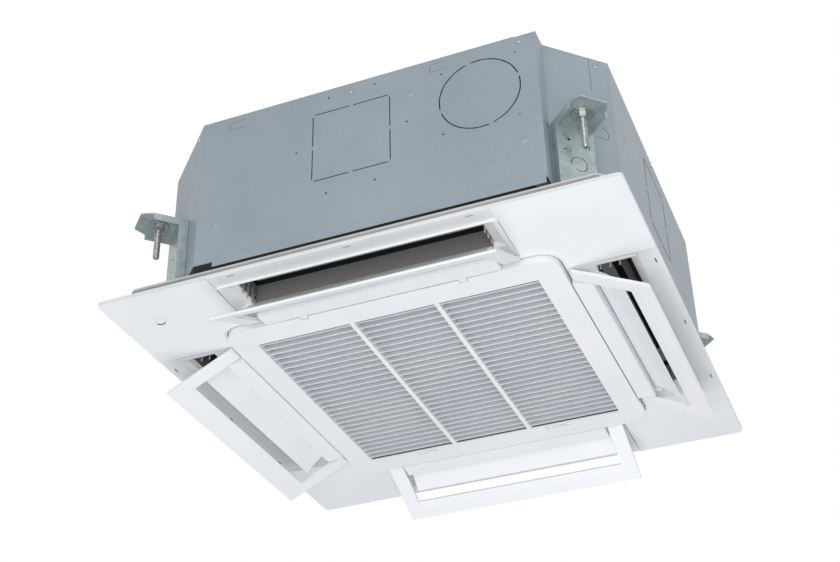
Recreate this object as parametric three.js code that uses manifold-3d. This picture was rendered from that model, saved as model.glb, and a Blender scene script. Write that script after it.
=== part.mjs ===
// Ceiling cassette air conditioner: casing, decorative panel, four outlets with a flap and a
// draught frame each, drop-down intake grille, and the fan, coil and drain parts inside.
// Millimetres, +Z up. z = 0 is the face of the ceiling, x = y = 0 the middle of the unit.
import * as THREE from 'three';
import { mergeVertices } from 'three/addons/utils/BufferGeometryUtils.js';
import Module from 'manifold-3d';

const wasm = await Module();
wasm.setup();

// ---- shared clearance between neighbouring pieces ----
const GAP = 0.3;

// ---- decorative panel ----
const PANEL_WIDTH = 950;
const PANEL_CORNER_RADIUS = 10;
const RIM_THICKNESS = 8;
const PLATE_THICKNESS = 3;
const BAND_INSET = 10;
const BAND_HEIGHT = 37;
const BAND_WALL = 4;
const STRIP_WIDTH = 37;
const STRIP_RISE = 5;
const CLIP_LENGTH = 15;
const CLIP_PITCH = 217;
const LID_START = 257;
const RECEIVER_X = 400;
const RECEIVER_Y = 386;
const RECEIVER_RADIUS = 9;

// ---- intake grille and filter ----
const GRILLE_WIDTH = 630;
const GRILLE_CORNER_RADIUS = 34;
const GRILLE_RUNNING_GAP = 2;
const GRILLE_DROP = 12.5;
const GRILLE_PLATE = 4;
const GRILLE_WALL = 3;
const LOUVRE_LENGTH = 536;
const LOUVRE_DEPTH = 522;
const SLAT_COUNT = 28;
const SLAT_THICKNESS = 2.2;
const SLAT_LEAN = 11.5;
const SLAT_RISE = 16;
const DIVIDER_X = 81;
const DIVIDER_WIDTH = 9;
const GRILLE_HINGE_X = 150;
const TONGUE_WIDTH = 14;
const HINGE_PIN_RADIUS = 1.4;
const LATCH_X = 140;
const LATCH_LENGTH = 24;
const LATCH_TRAVEL = 6;
const FILTER_THICKNESS = 4;
const FILTER_MESH = 1.2;
const FILTER_RIB_PITCH = 150;
const FILTER_RIB_WIDTH = 4;

// ---- air outlets, flaps and draught frames (one set per side) ----
const OUTLET_INNER = 352;
const OUTLET_OUTER = 424;
const OUTLET_HALF_LENGTH = 226;
const OUTLET_FLARE = 14;
const STRIP_LIP_DROP = 16;
const STRIP_HALF_LENGTH = 222;
const ARM_CLEARANCE = 4;
const POCKET_WALL = 2.5;
const FLAP_AXIS_R = 356;
const FLAP_AXIS_Z = 0;
const FLAP_LENGTH = 59.9;
const FLAP_THICKNESS = 3.4;
const FLAP_HALF_LENGTH = 222;
const FLAP_ANGLE = 40.6;
const FLAP_STUB_RADIUS = 2.6;
const BEARING_CLEARANCE = 0.6;
const FRAME_PIN_R = 326;
const FRAME_PIN_Z = -5.5;
const FRAME_PIN_RADIUS = 2.5;
const FRAME_DROP = 10;
const FRAME_THICKNESS = 6;
const FRAME_REACH = 148;
const FRAME_BAR_WIDTH = 44;
const FRAME_ARM_WIDTH = 30.7;
const FRAME_HALF_LENGTH = 256.7;
const FRAME_ANGLE = 26;
const KNUCKLE_T = 241;
const KNUCKLE_WIDTH = 20;
const KNUCKLE_RADIUS = 5.5;

// ---- casing ----
const CASING_WIDTH = 880;
const CASING_HEIGHT = 319.4;
const CORNER_CUT = 133;
const SHEET = 1;
const GASKET_HEIGHT = 15;
const GASKET_WIDTH = 30;
const COVER_OVERHANG = 40;
const DUCT_HOLE_SIZE = 150;
const DUCT_HOLE_Z = 245;
const ROUND_HOLE_X = 239;
const ROUND_HOLE_Z = 266;
const ROUND_HOLE_RADIUS = 75;
const SLIT = 1.6;
const BRIDGE = 8;

// ---- hanging brackets ----
const RAIL_PROUD = 18;
const RAIL_WIDTH = 72;
const RAIL_SHEET = 3;
const RAIL_BOTTOM = 46;
const LUG_Z = 192;
const LUG_REACH = 88;
const LUG_TIP_WIDTH = 50;
const BOLT_REACH = 48;
const BOLT_RADIUS = 6;
const BOLT_END_Z = 117;
const HEX_FLATS = 19;
const NUT_HEIGHT = 10;
const WASHER_RADIUS = 20;
const WASHER_THICKNESS = 3;

// ---- parts inside ----
const FOAM = 9;
const LID_FOAM = 12;
const PAN_HEIGHT = 32;
const TROUGH_DEPTH = 18;
const COIL_OUTER = 345;
const COIL_THICKNESS = 45;
const COIL_SKIN = 2;
const COIL_HEIGHT = 282.7;
const COIL_CORNER_RADIUS = 40;
const COIL_OPEN_CORNER = 225;
const FAN_RADIUS = 235;
const FAN_INLET_RADIUS = 199;
const FAN_BOTTOM = 94.5;
const FAN_HEIGHT = 148.5;
const BLADE_COUNT = 7;
const BLADE_THICKNESS = 4;
const SHAFT_RADIUS = 8;
const MOTOR_RADIUS = 78;
const MOTOR_HEIGHT = 90;
const BELL_INLET_RADIUS = 236;
const BELL_THROAT_RADIUS = 194;
const BELL_SHEET = 2.7;
const BELL_PLATE = 566;
const FAN_CLEARANCE = 2.5;
const GAS_PIPE_RADIUS = 8;
const LIQUID_PIPE_RADIUS = 5;
const DRAIN_TUBE_RADIUS = 13;
const PIPE_END = 472;
const GLAND_RADIUS = 14;
const GLAND_BORE = 9;
const PUMP_X = 320;
const PUMP_LENGTH = 46;
const PUMP_WIDTH = 48;
const PUMP_HEIGHT = 75;
const PUMP_HEAD_HEIGHT = 20;
const PUMP_HEAD_RADIUS = 17;
const CONTROL_X = 150;
const CONTROL_Y = 247.5;
const CONTROL_LENGTH = 210;
const CONTROL_WIDTH = 85;
const CONTROL_HEIGHT = 25.6;
const CONTROL_LID = 3.2;
const CONTROL_LID_LAP = 2;

// ---- derived levels and half sizes ----
const panelHalf = PANEL_WIDTH / 2;
const panelBottom = -RIM_THICKNESS;
const plateTop = panelBottom + PLATE_THICKNESS;
const floorTop = plateTop + PLATE_THICKNESS;
const intakeHalf = GRILLE_WIDTH / 2 + GRILLE_RUNNING_GAP;
const intakeRadius = GRILLE_CORNER_RADIUS + GRILLE_RUNNING_GAP;
const grilleHalf = GRILLE_WIDTH / 2;
const grilleFace = panelBottom - GRILLE_DROP;
const grilleTop = -GAP;
const gasketBottom = BAND_HEIGHT + GAP;
const gasketTop = gasketBottom + GASKET_HEIGHT;
const casingBottom = gasketTop + GAP;
const casingTop = casingBottom + CASING_HEIGHT;
const casingHalf = CASING_WIDTH / 2;
const bandHalf = casingHalf - BAND_INSET;
const chamferStart = casingHalf - CORNER_CUT;
const panTop = casingBottom + GAP + PAN_HEIGHT;
const troughFloor = panTop - TROUGH_DEPTH;
const wallTop = casingTop - SHEET - GAP;
const topInside = casingTop - SHEET;
const lugRootD = (casingHalf + chamferStart) / Math.SQRT2;

// ---- materials ----
const COLOURS = {
  whitePlastic: ['#eceef0', 0.42, 0],
  lidPlastic: ['#e9ebee', 0.42, 0],
  steel: ['#98a3aa', 0.45, 0.55],
  bracketSteel: ['#8a9796', 0.38, 0.85],
  boltSteel: ['#a3aaab', 0.3, 0.95],
  blackFoam: ['#15181a', 0.92, 0],
  greyFoam: ['#80807c', 0.9, 0],
  darkPlastic: ['#2b2d2f', 0.55, 0],
  greyPlastic: ['#9a9c9e', 0.5, 0],
  aluminium: ['#b9bdbf', 0.35, 0.9],
  copper: ['#b06a42', 0.32, 0.95],
};

function material(name) {
  const [colour, roughness, metalness] = COLOURS[name];
  return new THREE.MeshStandardMaterial({ color: colour, roughness, metalness });
}

// ---- solids from three.js shapes ----
function solid(geometry) {
  const bare = geometry.index ? geometry.toNonIndexed() : geometry.clone();
  bare.deleteAttribute('normal');
  bare.deleteAttribute('uv');
  const merged = mergeVertices(bare, 1e-4);
  const source = merged.index.array;
  const kept = [];
  for (let i = 0; i < source.length; i += 3) {
    const [a, b, c] = [source[i], source[i + 1], source[i + 2]];
    if (a !== b && b !== c && a !== c) kept.push(a, b, c);
  }
  const snapped = merged.attributes.position.array.map((v) => Math.round(v * 1000) / 1000);
  const mesh = new wasm.Mesh({
    numProp: 3,
    vertProperties: new Float32Array(snapped),
    triVerts: new Uint32Array(kept),
  });
  return new wasm.Manifold(mesh);
}

function toMesh(name, body, materialName) {
  const out = body.getMesh();
  const geometry = new THREE.BufferGeometry();
  geometry.setAttribute('position', new THREE.BufferAttribute(new Float32Array(out.vertProperties), 3));
  geometry.setIndex(new THREE.BufferAttribute(new Uint32Array(out.triVerts), 1));
  const flat = geometry.toNonIndexed();
  flat.computeVertexNormals();
  const mesh = new THREE.Mesh(flat, material(materialName));
  mesh.name = name;
  return mesh;
}

function join(parts) {
  return parts.reduce((sum, part) => sum.add(part));
}

function cut(body, tools) {
  return tools.reduce((rest, tool) => rest.subtract(tool), body);
}

function box(x0, x1, y0, y1, z0, z1) {
  const geometry = new THREE.BoxGeometry(x1 - x0, y1 - y0, z1 - z0);
  geometry.translate((x0 + x1) / 2, (y0 + y1) / 2, (z0 + z1) / 2);
  return solid(geometry);
}

// A box whose lower and upper rectangles [x0, x1, y0, y1] differ.
function taper(low, high, z0, z1) {
  const geometry = new THREE.BoxGeometry(1, 1, 1);
  const position = geometry.attributes.position;
  for (let i = 0; i < position.count; i += 1) {
    const rect = position.getZ(i) < 0 ? low : high;
    const x = position.getX(i) < 0 ? rect[0] : rect[1];
    const y = position.getY(i) < 0 ? rect[2] : rect[3];
    position.setXYZ(i, x, y, position.getZ(i) < 0 ? z0 : z1);
  }
  return solid(geometry);
}

function shapeOf(points) {
  return new THREE.Shape(points.map(([x, y]) => new THREE.Vector2(x, y)));
}

// Outline in the plan, extruded from z0 to z1.
function prism(points, z0, z1) {
  const geometry = new THREE.ExtrudeGeometry(shapeOf(points), { depth: z1 - z0, bevelEnabled: false });
  geometry.translate(0, 0, z0);
  return solid(geometry);
}

// Section given as [x, z] points, extruded along y.
function alongY(points, y0, y1) {
  const geometry = new THREE.ExtrudeGeometry(shapeOf(points), { depth: y1 - y0, bevelEnabled: false });
  geometry.rotateX(Math.PI / 2);
  geometry.translate(0, y1, 0);
  return solid(geometry);
}

// Section given as [y, z] points, extruded along x.
function alongX(points, x0, x1) {
  const geometry = new THREE.ExtrudeGeometry(shapeOf(points), { depth: x1 - x0, bevelEnabled: false });
  geometry.rotateX(Math.PI / 2);
  geometry.rotateZ(Math.PI / 2);
  geometry.translate(x0, 0, 0);
  return solid(geometry);
}

// Rod between two levels of one axis.
function rod(axis, radius, from, to, a, b, sides = 16) {
  const geometry = new THREE.CylinderGeometry(radius, radius, to - from, sides);
  const middle = (from + to) / 2;
  if (axis === 'x') {
    geometry.rotateZ(Math.PI / 2);
    geometry.translate(middle, a, b);
  } else if (axis === 'y') {
    geometry.translate(a, middle, b);
  } else {
    geometry.rotateX(Math.PI / 2);
    geometry.translate(a, b, middle);
  }
  return solid(geometry);
}

// Closed section of [radius, z] points, turned about the z axis.
function turned(points, sides = 30) {
  const ring = points.map(([r, z]) => new THREE.Vector2(r, z));
  ring.push(ring[0].clone());
  const geometry = new THREE.LatheGeometry(ring, sides);
  geometry.rotateX(Math.PI / 2);
  const body = solid(geometry);
  return body.volume() < 0 ? turned([...points].reverse(), sides) : body;
}

function roundedSquare(half, radius, steps = 4) {
  const points = [];
  const centre = half - radius;
  for (let corner = 0; corner < 4; corner += 1) {
    const start = (corner * Math.PI) / 2;
    const cx = centre * Math.sign(Math.cos(start + Math.PI / 4));
    const cy = centre * Math.sign(Math.sin(start + Math.PI / 4));
    for (let i = 0; i <= steps; i += 1) {
      const angle = start + (i / steps) * (Math.PI / 2);
      points.push([cx + radius * Math.cos(angle), cy + radius * Math.sin(angle)]);
    }
  }
  return points;
}

// The casing's eight-sided plan, drawn in from its outer face by inset.
function octagon(inset) {
  const half = casingHalf - inset;
  const start = chamferStart - inset * Math.tan(Math.PI / 8);
  return [
    [start, -half], [half, -start], [half, start], [start, half],
    [-start, half], [-half, start], [-half, -start], [-start, -half],
  ];
}

// Ring between two outlines in the plan.
function ringPrism(outer, inner, z0, z1) {
  return prism(outer, z0, z1).subtract(prism(inner, z0 - 1, z1 + 1));
}

function quarterTurn(body, side) {
  return body.rotate([0, 0, 90 * side]);
}

// Turns a body about an axis parallel to y through (x, z); positive angles lower the +x side.
function tilt(body, x, z, degrees) {
  return body.translate([-x, 0, -z]).rotate([0, degrees, 0]).translate([x, 0, z]);
}

const SIDES = ['right', 'far', 'left', 'near'];
const CORNERS = ['far_right', 'far_left', 'near_left', 'near_right'];

// ---- casing ----
// One flat wall from outline point p0 to p1, with mitred ends that stop short of its neighbours.
function wall(p0, p1) {
  const dx = p1[0] - p0[0];
  const dy = p1[1] - p0[1];
  const length = Math.hypot(dx, dy);
  const [ux, uy] = [dx / length, dy / length];
  const [nx, ny] = [-uy, ux];
  const mitre = SHEET * Math.tan(Math.PI / 8);
  const at = (along, inward) => [p0[0] + ux * along + nx * inward, p0[1] + uy * along + ny * inward];
  const half = GAP / 2;
  const outline = [
    at(half, 0), at(length - half, 0), at(length - half - mitre, SHEET), at(half + mitre, SHEET),
  ];
  return prism(outline, casingBottom, wallTop);
}

// Thin breaks around a push-out plate, cut right through a wall that lies across y.
function squareSlits(x, z, size, y) {
  const h = size / 2;
  const cuts = [];
  for (const s of [-1, 1]) {
    const edge = h * s;
    const spans = [[-h + 4, -BRIDGE / 2], [BRIDGE / 2, h - 4]];
    for (const [a, b] of spans) {
      cuts.push(box(x + a, x + b, y - 3, y + 3, z + edge - SLIT / 2, z + edge + SLIT / 2));
      cuts.push(box(x + edge - SLIT / 2, x + edge + SLIT / 2, y - 3, y + 3, z + a, z + b));
    }
  }
  return cuts;
}

function roundSlits(x, z, radius, y) {
  const cuts = [];
  const bridge = BRIDGE / radius;
  for (let quarter = 0; quarter < 4; quarter += 1) {
    const start = (quarter * Math.PI) / 2 + 0.25 + bridge / 2;
    const end = start + Math.PI / 2 - bridge;
    const outer = [];
    const inner = [];
    for (let i = 0; i <= 4; i += 1) {
      const angle = start + ((end - start) * i) / 4;
      outer.push([x + (radius + SLIT / 2) * Math.cos(angle), z + (radius + SLIT / 2) * Math.sin(angle)]);
      inner.push([x + (radius - SLIT / 2) * Math.cos(angle), z + (radius - SLIT / 2) * Math.sin(angle)]);
    }
    cuts.push(alongY([...outer, ...inner.reverse()], y - 3, y + 3));
  }
  return cuts;
}

const outline = octagon(0);
const pipeHoles = {
  gas: [-290, 168],
  liquid: [-260, 120],
  gland: [150, 300],
};
const DRAIN_Y = 256;
const DRAIN_Z = 230;

// The near cover runs past its corner plate and is folded back beside it.
function nearWall() {
  const left = -chamferStart + GAP / 2;
  const mitre = SHEET * Math.tan(Math.PI / 8);
  const right = chamferStart + COVER_OVERHANG;
  const fold = -casingHalf + COVER_OVERHANG - SHEET - GAP;
  const plan = [
    [left, -casingHalf], [right, -casingHalf], [right, fold], [right - SHEET, fold],
    [right - SHEET, -casingHalf + SHEET], [left + mitre, -casingHalf + SHEET],
  ];
  return cut(prism(plan, casingBottom, wallTop), [
    ...squareSlits(-4, DUCT_HOLE_Z, DUCT_HOLE_SIZE, -casingHalf),
    ...roundSlits(ROUND_HOLE_X, ROUND_HOLE_Z, ROUND_HOLE_RADIUS, -casingHalf),
  ]);
}

function rightWall() {
  const slits = squareSlits(4, DUCT_HOLE_Z + 9, DUCT_HOLE_SIZE, 0);
  const turnedSlits = slits.map((s) => s.rotate([0, 0, 90]).translate([casingHalf, 0, 0]));
  return cut(wall(outline[1], outline[2]), turnedSlits);
}

function farWall() {
  const reach = [casingHalf - 5, casingHalf + 5];
  return cut(wall(outline[3], outline[4]), [
    rod('y', GAS_PIPE_RADIUS + GAP, ...reach, ...pipeHoles.gas),
    rod('y', LIQUID_PIPE_RADIUS + GAP, ...reach, ...pipeHoles.liquid),
    rod('y', GLAND_RADIUS + GAP, ...reach, ...pipeHoles.gland),
  ]);
}

function leftWall() {
  const hole = rod('x', DRAIN_TUBE_RADIUS + GAP, -casingHalf - 5, -casingHalf + 5, DRAIN_Y, DRAIN_Z);
  return cut(wall(outline[5], outline[6]), [hole]);
}

function addCasing(group) {
  group.add(toMesh('casing_top', prism(octagon(0), topInside, casingTop), 'steel'));
  group.add(toMesh('casing_wall_near', nearWall(), 'steel'));
  group.add(toMesh('casing_wall_right', rightWall(), 'steel'));
  group.add(toMesh('casing_wall_far', farWall(), 'steel'));
  group.add(toMesh('casing_wall_left', leftWall(), 'steel'));
  const pairs = [[2, 3], [4, 5], [6, 7], [0, 1]];
  pairs.forEach(([a, b], i) => {
    const edge = casingHalf - SHEET - GAP;
    const [x0, x1] = [chamferStart - 5, chamferStart + 5];
    const clear = box(x0, x1, -casingHalf - 1, -edge, casingBottom - 1, wallTop + 1);
    const plate = wall(outline[a], outline[b]).subtract(clear);
    group.add(toMesh(`corner_plate_${CORNERS[i]}`, plate, 'steel'));
  });
}

// ---- hanging brackets: a folded rail on each corner plate with a lug, bolt and nut ----
function hex(z0, z1, d) {
  const points = [];
  const radius = HEX_FLATS / 2 / Math.cos(Math.PI / 6);
  for (let i = 0; i < 6; i += 1) {
    points.push([d + radius * Math.cos((i * Math.PI) / 3), radius * Math.sin((i * Math.PI) / 3)]);
  }
  return prism(points, z0, z1);
}

// Drawn with the corner's outward direction along +x, then turned to each corner.
function bracketBody() {
  const face = lugRootD + RAIL_PROUD;
  const back = lugRootD + GAP;
  const w = RAIL_WIDTH / 2;
  const t = RAIL_SHEET;
  const lugBottom = LUG_Z - t;
  const rail = prism(
    [[back, -w], [face, -w], [face, w], [back, w], [back, w - t], [face - t, w - t],
      [face - t, t - w], [back, t - w]],
    RAIL_BOTTOM, LUG_Z,
  );
  const tip = lugRootD + LUG_REACH;
  const tw = LUG_TIP_WIDTH / 2;
  const lugPlan = [[back, -w], [tip - 22, -w], [tip, -tw], [tip, tw], [tip - 22, w], [back, w]];
  const lug = prism(lugPlan, lugBottom, LUG_Z);
  const flanges = [-1, 1].map((s) => {
    const y0 = s > 0 ? w - t : -w;
    return box(face - 1, tip - 22, y0, y0 + t, lugBottom - 11, LUG_Z - 1);
  });
  const slot = prism(roundSlot(lugRootD + BOLT_REACH, BOLT_RADIUS + 1, 10), lugBottom - 1, LUG_Z + 1);
  return cut(join([rail, lug, ...flanges]), [slot]);
}

function roundSlot(d, radius, length) {
  const points = [];
  for (let i = 0; i <= 6; i += 1) {
    const angle = -Math.PI / 2 + (i / 6) * Math.PI;
    points.push([d + length / 2 + radius * Math.cos(angle), radius * Math.sin(angle)]);
  }
  for (let i = 0; i <= 6; i += 1) {
    const angle = Math.PI / 2 + (i / 6) * Math.PI;
    points.push([d - length / 2 + radius * Math.cos(angle), radius * Math.sin(angle)]);
  }
  return points;
}

function addHangers(group) {
  const d = lugRootD + BOLT_REACH;
  const lugBottom = LUG_Z - RAIL_SHEET;
  const bolt = join([
    rod('z', BOLT_RADIUS, BOLT_END_Z, LUG_Z + 2, d, 0, 12),
    hex(LUG_Z + GAP, LUG_Z + GAP + 8, d),
    rod('z', 13, LUG_Z + GAP, LUG_Z + 2.3, d, 0, 16),
  ]);
  const washerTop = lugBottom - GAP;
  const washerBottom = washerTop - WASHER_THICKNESS;
  const washer = rod('z', WASHER_RADIUS, washerBottom, washerTop, d, 0, 20);
  const nutBody = hex(washerBottom - NUT_HEIGHT, washerBottom + 1, d);
  const bore = rod('z', BOLT_RADIUS + GAP, BOLT_END_Z, LUG_Z, d, 0, 12);
  const nut = washer.add(nutBody).subtract(bore);
  CORNERS.forEach((name, i) => {
    const turn = [0, 0, 45 + 90 * i];
    group.add(toMesh(`hanger_bracket_${name}`, bracketBody().rotate(turn), 'bracketSteel'));
    group.add(toMesh(`hanger_bolt_${name}`, bolt.rotate(turn), 'boltSteel'));
    group.add(toMesh(`hanger_nut_${name}`, nut.rotate(turn), 'boltSteel'));
  });
}

// ---- decorative panel ----
function lidOutline(spread) {
  const edge = LID_START + GAP - spread;
  const inner = intakeHalf + GRILLE_WALL + GAP - spread;
  const radius = intakeRadius + GRILLE_WALL + GAP - spread;
  const centre = intakeHalf - intakeRadius;
  const outer = panelHalf + Math.max(0, spread) * 4;
  const corner = spread > 0 ? 0 : PANEL_CORNER_RADIUS;
  const points = [[edge, inner]];
  points.push([edge, outer]);
  if (corner > 0) {
    for (let i = 0; i <= 5; i += 1) {
      const angle = Math.PI / 2 - (i / 5) * (Math.PI / 2);
      points.push([outer - corner + corner * Math.cos(angle), outer - corner + corner * Math.sin(angle)]);
    }
  } else {
    points.push([outer, outer]);
  }
  points.push([outer, edge], [inner, edge]);
  for (let i = 0; i <= 5; i += 1) {
    const angle = (i / 5) * (Math.PI / 2);
    points.push([centre + radius * Math.cos(angle), centre + radius * Math.sin(angle)]);
  }
  return points.reverse();
}

// The solid parts of one outlet: its duct, flared mouth, inner strip, bearings and frame pins.
function outletSolids() {
  const w = PLATE_THICKNESS;
  const inner = OUTLET_INNER - w;
  const half = OUTLET_HALF_LENGTH + w;
  const wide = OUTLET_HALF_LENGTH + 25;
  const duct = box(inner, bandHalf - 1, -half, half, plateTop - 1, BAND_HEIGHT);
  const mouth = taper(
    [inner, OUTLET_OUTER + OUTLET_FLARE + w, -wide, wide],
    [inner, OUTLET_OUTER + w, -half, half],
    panelBottom, panelBottom + OUTLET_FLARE + w,
  );
  return duct.add(mouth);
}

function outletCuts() {
  const clear = 0.1;
  const stripEdge = panelHalf - STRIP_WIDTH;
  const half = OUTLET_HALF_LENGTH;
  const wide = OUTLET_HALF_LENGTH + 22;
  const cuts = [
    box(OUTLET_INNER, OUTLET_OUTER, -half, half, panelBottom - 1, BAND_HEIGHT + 1),
    taper(
      [OUTLET_INNER, OUTLET_OUTER + OUTLET_FLARE, -wide, wide],
      [OUTLET_INNER, OUTLET_OUTER, -half, half],
      panelBottom - clear, panelBottom + OUTLET_FLARE,
    ),
    alongY(
      [[panelHalf + 1, panelBottom - 1], [panelHalf + 1, panelBottom + 0.7],
        [stripEdge - clear, panelBottom + 0.7 + STRIP_RISE], [stripEdge - clear, panelBottom - 1]],
      -LID_START + clear, LID_START - clear,
    ),
  ];
  return cuts;
}

function innerStrip() {
  const lip = panelBottom - STRIP_LIP_DROP;
  const wallX = OUTLET_INNER - 2;
  const strip = alongY(
    [[intakeHalf + GAP, grilleFace], [OUTLET_INNER, lip], [OUTLET_INNER + 0.8, lip + 8.5],
      [wallX, lip + 11], [wallX, plateTop - 1], [intakeHalf + GAP, plateTop - 1]],
    -STRIP_HALF_LENGTH, STRIP_HALF_LENGTH,
  );
  return cut(strip, armNotches(lip));
}

// Room for the draught frame's arms, open downwards, beside the strip's ends.
function armNotches(lip) {
  const near = FRAME_HALF_LENGTH - FRAME_ARM_WIDTH - ARM_CLEARANCE;
  const far = FRAME_HALF_LENGTH + ARM_CLEARANCE;
  const x0 = intakeHalf + GAP + POCKET_WALL;
  return [[-far, -near], [near, far]].map(([t0, t1]) => box(x0, OUTLET_INNER + 2, t0, t1, lip - 1, plateTop));
}

// Bearing blocks for the flap, and the two pins in their pockets that the draught frame turns on.
function outletBearings() {
  const parts = [];
  for (const s of [-1, 1]) {
    const inner = s * (OUTLET_HALF_LENGTH - 1.5);
    const outer = s * (OUTLET_HALF_LENGTH + 20);
    const [t0, t1] = [Math.min(inner, outer), Math.max(inner, outer)];
    parts.push(box(OUTLET_INNER - 2, OUTLET_INNER + 14, t0, t1, panelBottom, 7));
  }
  return parts;
}

function pinPockets() {
  const half = KNUCKLE_WIDTH / 2 + 1;
  const wallT = POCKET_WALL;
  const solids = [];
  const pockets = [];
  const pins = [];
  for (const s of [-1, 1]) {
    const t = s * KNUCKLE_T;
    const x0 = intakeHalf + GAP;
    const x1 = FRAME_PIN_R + KNUCKLE_RADIUS + 3;
    solids.push(box(x0, x1, t - half - wallT, t + half + wallT, panelBottom, 4));
    pockets.push(box(x0 + wallT, x1 - wallT, t - half, t + half, panelBottom - 1, 1.5));
    pins.push(rod('y', FRAME_PIN_RADIUS, t - half - 1.5, t + half + 1.5, FRAME_PIN_R, FRAME_PIN_Z, 8));
  }
  return { solids, pockets, pins };
}

function clipSlots() {
  const r = panelHalf - 11;
  return [-1, 0, 1].map((k) => {
    const t = k * CLIP_PITCH;
    return box(r - 1.2, r + 1.2, t - CLIP_LENGTH / 2, t + CLIP_LENGTH / 2, panelBottom - 1, panelBottom + 4);
  });
}

// Tongues that carry the grille's hinge pins, on the near side.
const hingeY = -(grilleHalf - 4);
const hingeZ = grilleFace + 3;
function hingeTongues() {
  return [-1, 1].map((s) => {
    const x = s * GRILLE_HINGE_X;
    const half = TONGUE_WIDTH / 2;
    const thick = HINGE_PIN_RADIUS + 1.2;
    const tongue = box(x - half, x + half, -intakeHalf - 2, hingeY + 3, hingeZ - thick, hingeZ + thick);
    const boreRadius = HINGE_PIN_RADIUS + BEARING_CLEARANCE;
    return tongue.subtract(rod('x', boreRadius, x - 20, x + 20, hingeY, hingeZ, 12));
  });
}

function panelBody() {
  const outer = roundedSquare(panelHalf, PANEL_CORNER_RADIUS);
  const intake = roundedSquare(intakeHalf, intakeRadius);
  const intakeOuter = roundedSquare(intakeHalf + GRILLE_WALL, intakeRadius + GRILLE_WALL);
  const bandSocket = octagon(BAND_INSET - GAP);
  const base = prism(outer, panelBottom, plateTop);
  const rim = prism(outer, panelBottom, 0).subtract(prism(bandSocket, panelBottom - 1, 1));
  const intakeWall = prism(intakeOuter, panelBottom, BAND_HEIGHT);
  const floor = prism(roundedSquare(bandHalf - 2, 60), plateTop, floorTop);
  let body = join([base, rim, intakeWall, floor]);
  const side = outletSolids();
  const sideCuts = outletCuts();
  const pocket = pinPockets();
  const reach = OUTLET_HALF_LENGTH + 20;
  const boreRadius = FLAP_STUB_RADIUS + BEARING_CLEARANCE;
  const bearingBore = rod('y', boreRadius, -reach, reach, FLAP_AXIS_R, FLAP_AXIS_Z, 8);
  for (let k = 0; k < 4; k += 1) {
    body = body.add(quarterTurn(join([side, ...pocket.solids]), k));
    body = cut(body, [...sideCuts, ...pocket.pockets, ...clipSlots()].map((c) => quarterTurn(c, k)));
    body = body.add(quarterTurn(join([innerStrip(), ...outletBearings(), ...pocket.pins]), k));
    body = body.subtract(quarterTurn(bearingBore, k));
    body = body.subtract(quarterTurn(prism(lidOutline(GAP), panelBottom - 1, plateTop + GAP), k));
  }
  body = body.subtract(prism(intake, panelBottom - 20, BAND_HEIGHT + 1));
  const room = octagon(BAND_INSET + BAND_WALL + GAP);
  const ledge = ringPrism(roundedSquare(PANEL_WIDTH, PANEL_CORNER_RADIUS), room, 0, BAND_HEIGHT + 1);
  const socket = ringPrism(bandSocket, room, floorTop, 1);
  return join([cut(body, [ledge, socket]), ...hingeTongues()]);
}

// Upright band that stands in the panel's raised rim and meets the casing's gasket.
function panelBand() {
  const ring = ringPrism(octagon(BAND_INSET), octagon(BAND_INSET + BAND_WALL), floorTop + GAP, BAND_HEIGHT);
  const mouth = outletCuts()[1];
  return cut(ring, [0, 1, 2, 3].map((k) => quarterTurn(mouth, k)));
}

function addPanel(group) {
  group.add(toMesh('panel_body', panelBody(), 'whitePlastic'));
  group.add(toMesh('panel_band', panelBand(), 'whitePlastic'));
  CORNERS.forEach((name, i) => {
    let lid = quarterTurn(prism(lidOutline(0), panelBottom, plateTop), i);
    if (name === 'near_left') {
      const hole = rod('z', RECEIVER_RADIUS, panelBottom - 1, plateTop + 1, -RECEIVER_X, -RECEIVER_Y, 20);
      lid = lid.subtract(hole);
    }
    group.add(toMesh(`corner_lid_${name}`, lid, 'lidPlastic'));
  });
  const window = rod(
    'z', RECEIVER_RADIUS - GAP, panelBottom + 0.6, plateTop, -RECEIVER_X, -RECEIVER_Y, 20,
  );
  group.add(toMesh('receiver_window', window, 'greyPlastic'));
}

// ---- flaps and draught frames, drawn flat for the right-hand side ----
function flapBody() {
  const t = FLAP_THICKNESS / 2;
  const top = [];
  const bottom = [];
  for (let i = 0; i <= 5; i += 1) {
    const u = i / 5;
    const sag = 3 * Math.sin(Math.PI * u);
    const thick = t * (1 - 0.45 * u * u);
    top.push([FLAP_AXIS_R + FLAP_LENGTH * u, FLAP_AXIS_Z + sag + thick]);
    bottom.push([FLAP_AXIS_R + FLAP_LENGTH * u, FLAP_AXIS_Z + sag - thick]);
  }
  const blade = alongY([...bottom, ...top.reverse()], -FLAP_HALF_LENGTH, FLAP_HALF_LENGTH);
  const root = rod('y', 3.2, -FLAP_HALF_LENGTH, FLAP_HALF_LENGTH, FLAP_AXIS_R, FLAP_AXIS_Z, 10);
  const reach = OUTLET_HALF_LENGTH + 19.7;
  const stub = rod('y', FLAP_STUB_RADIUS, -reach, reach, FLAP_AXIS_R, FLAP_AXIS_Z, 8);
  return tilt(join([blade, root, stub]), FLAP_AXIS_R, FLAP_AXIS_Z, FLAP_ANGLE);
}

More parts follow.
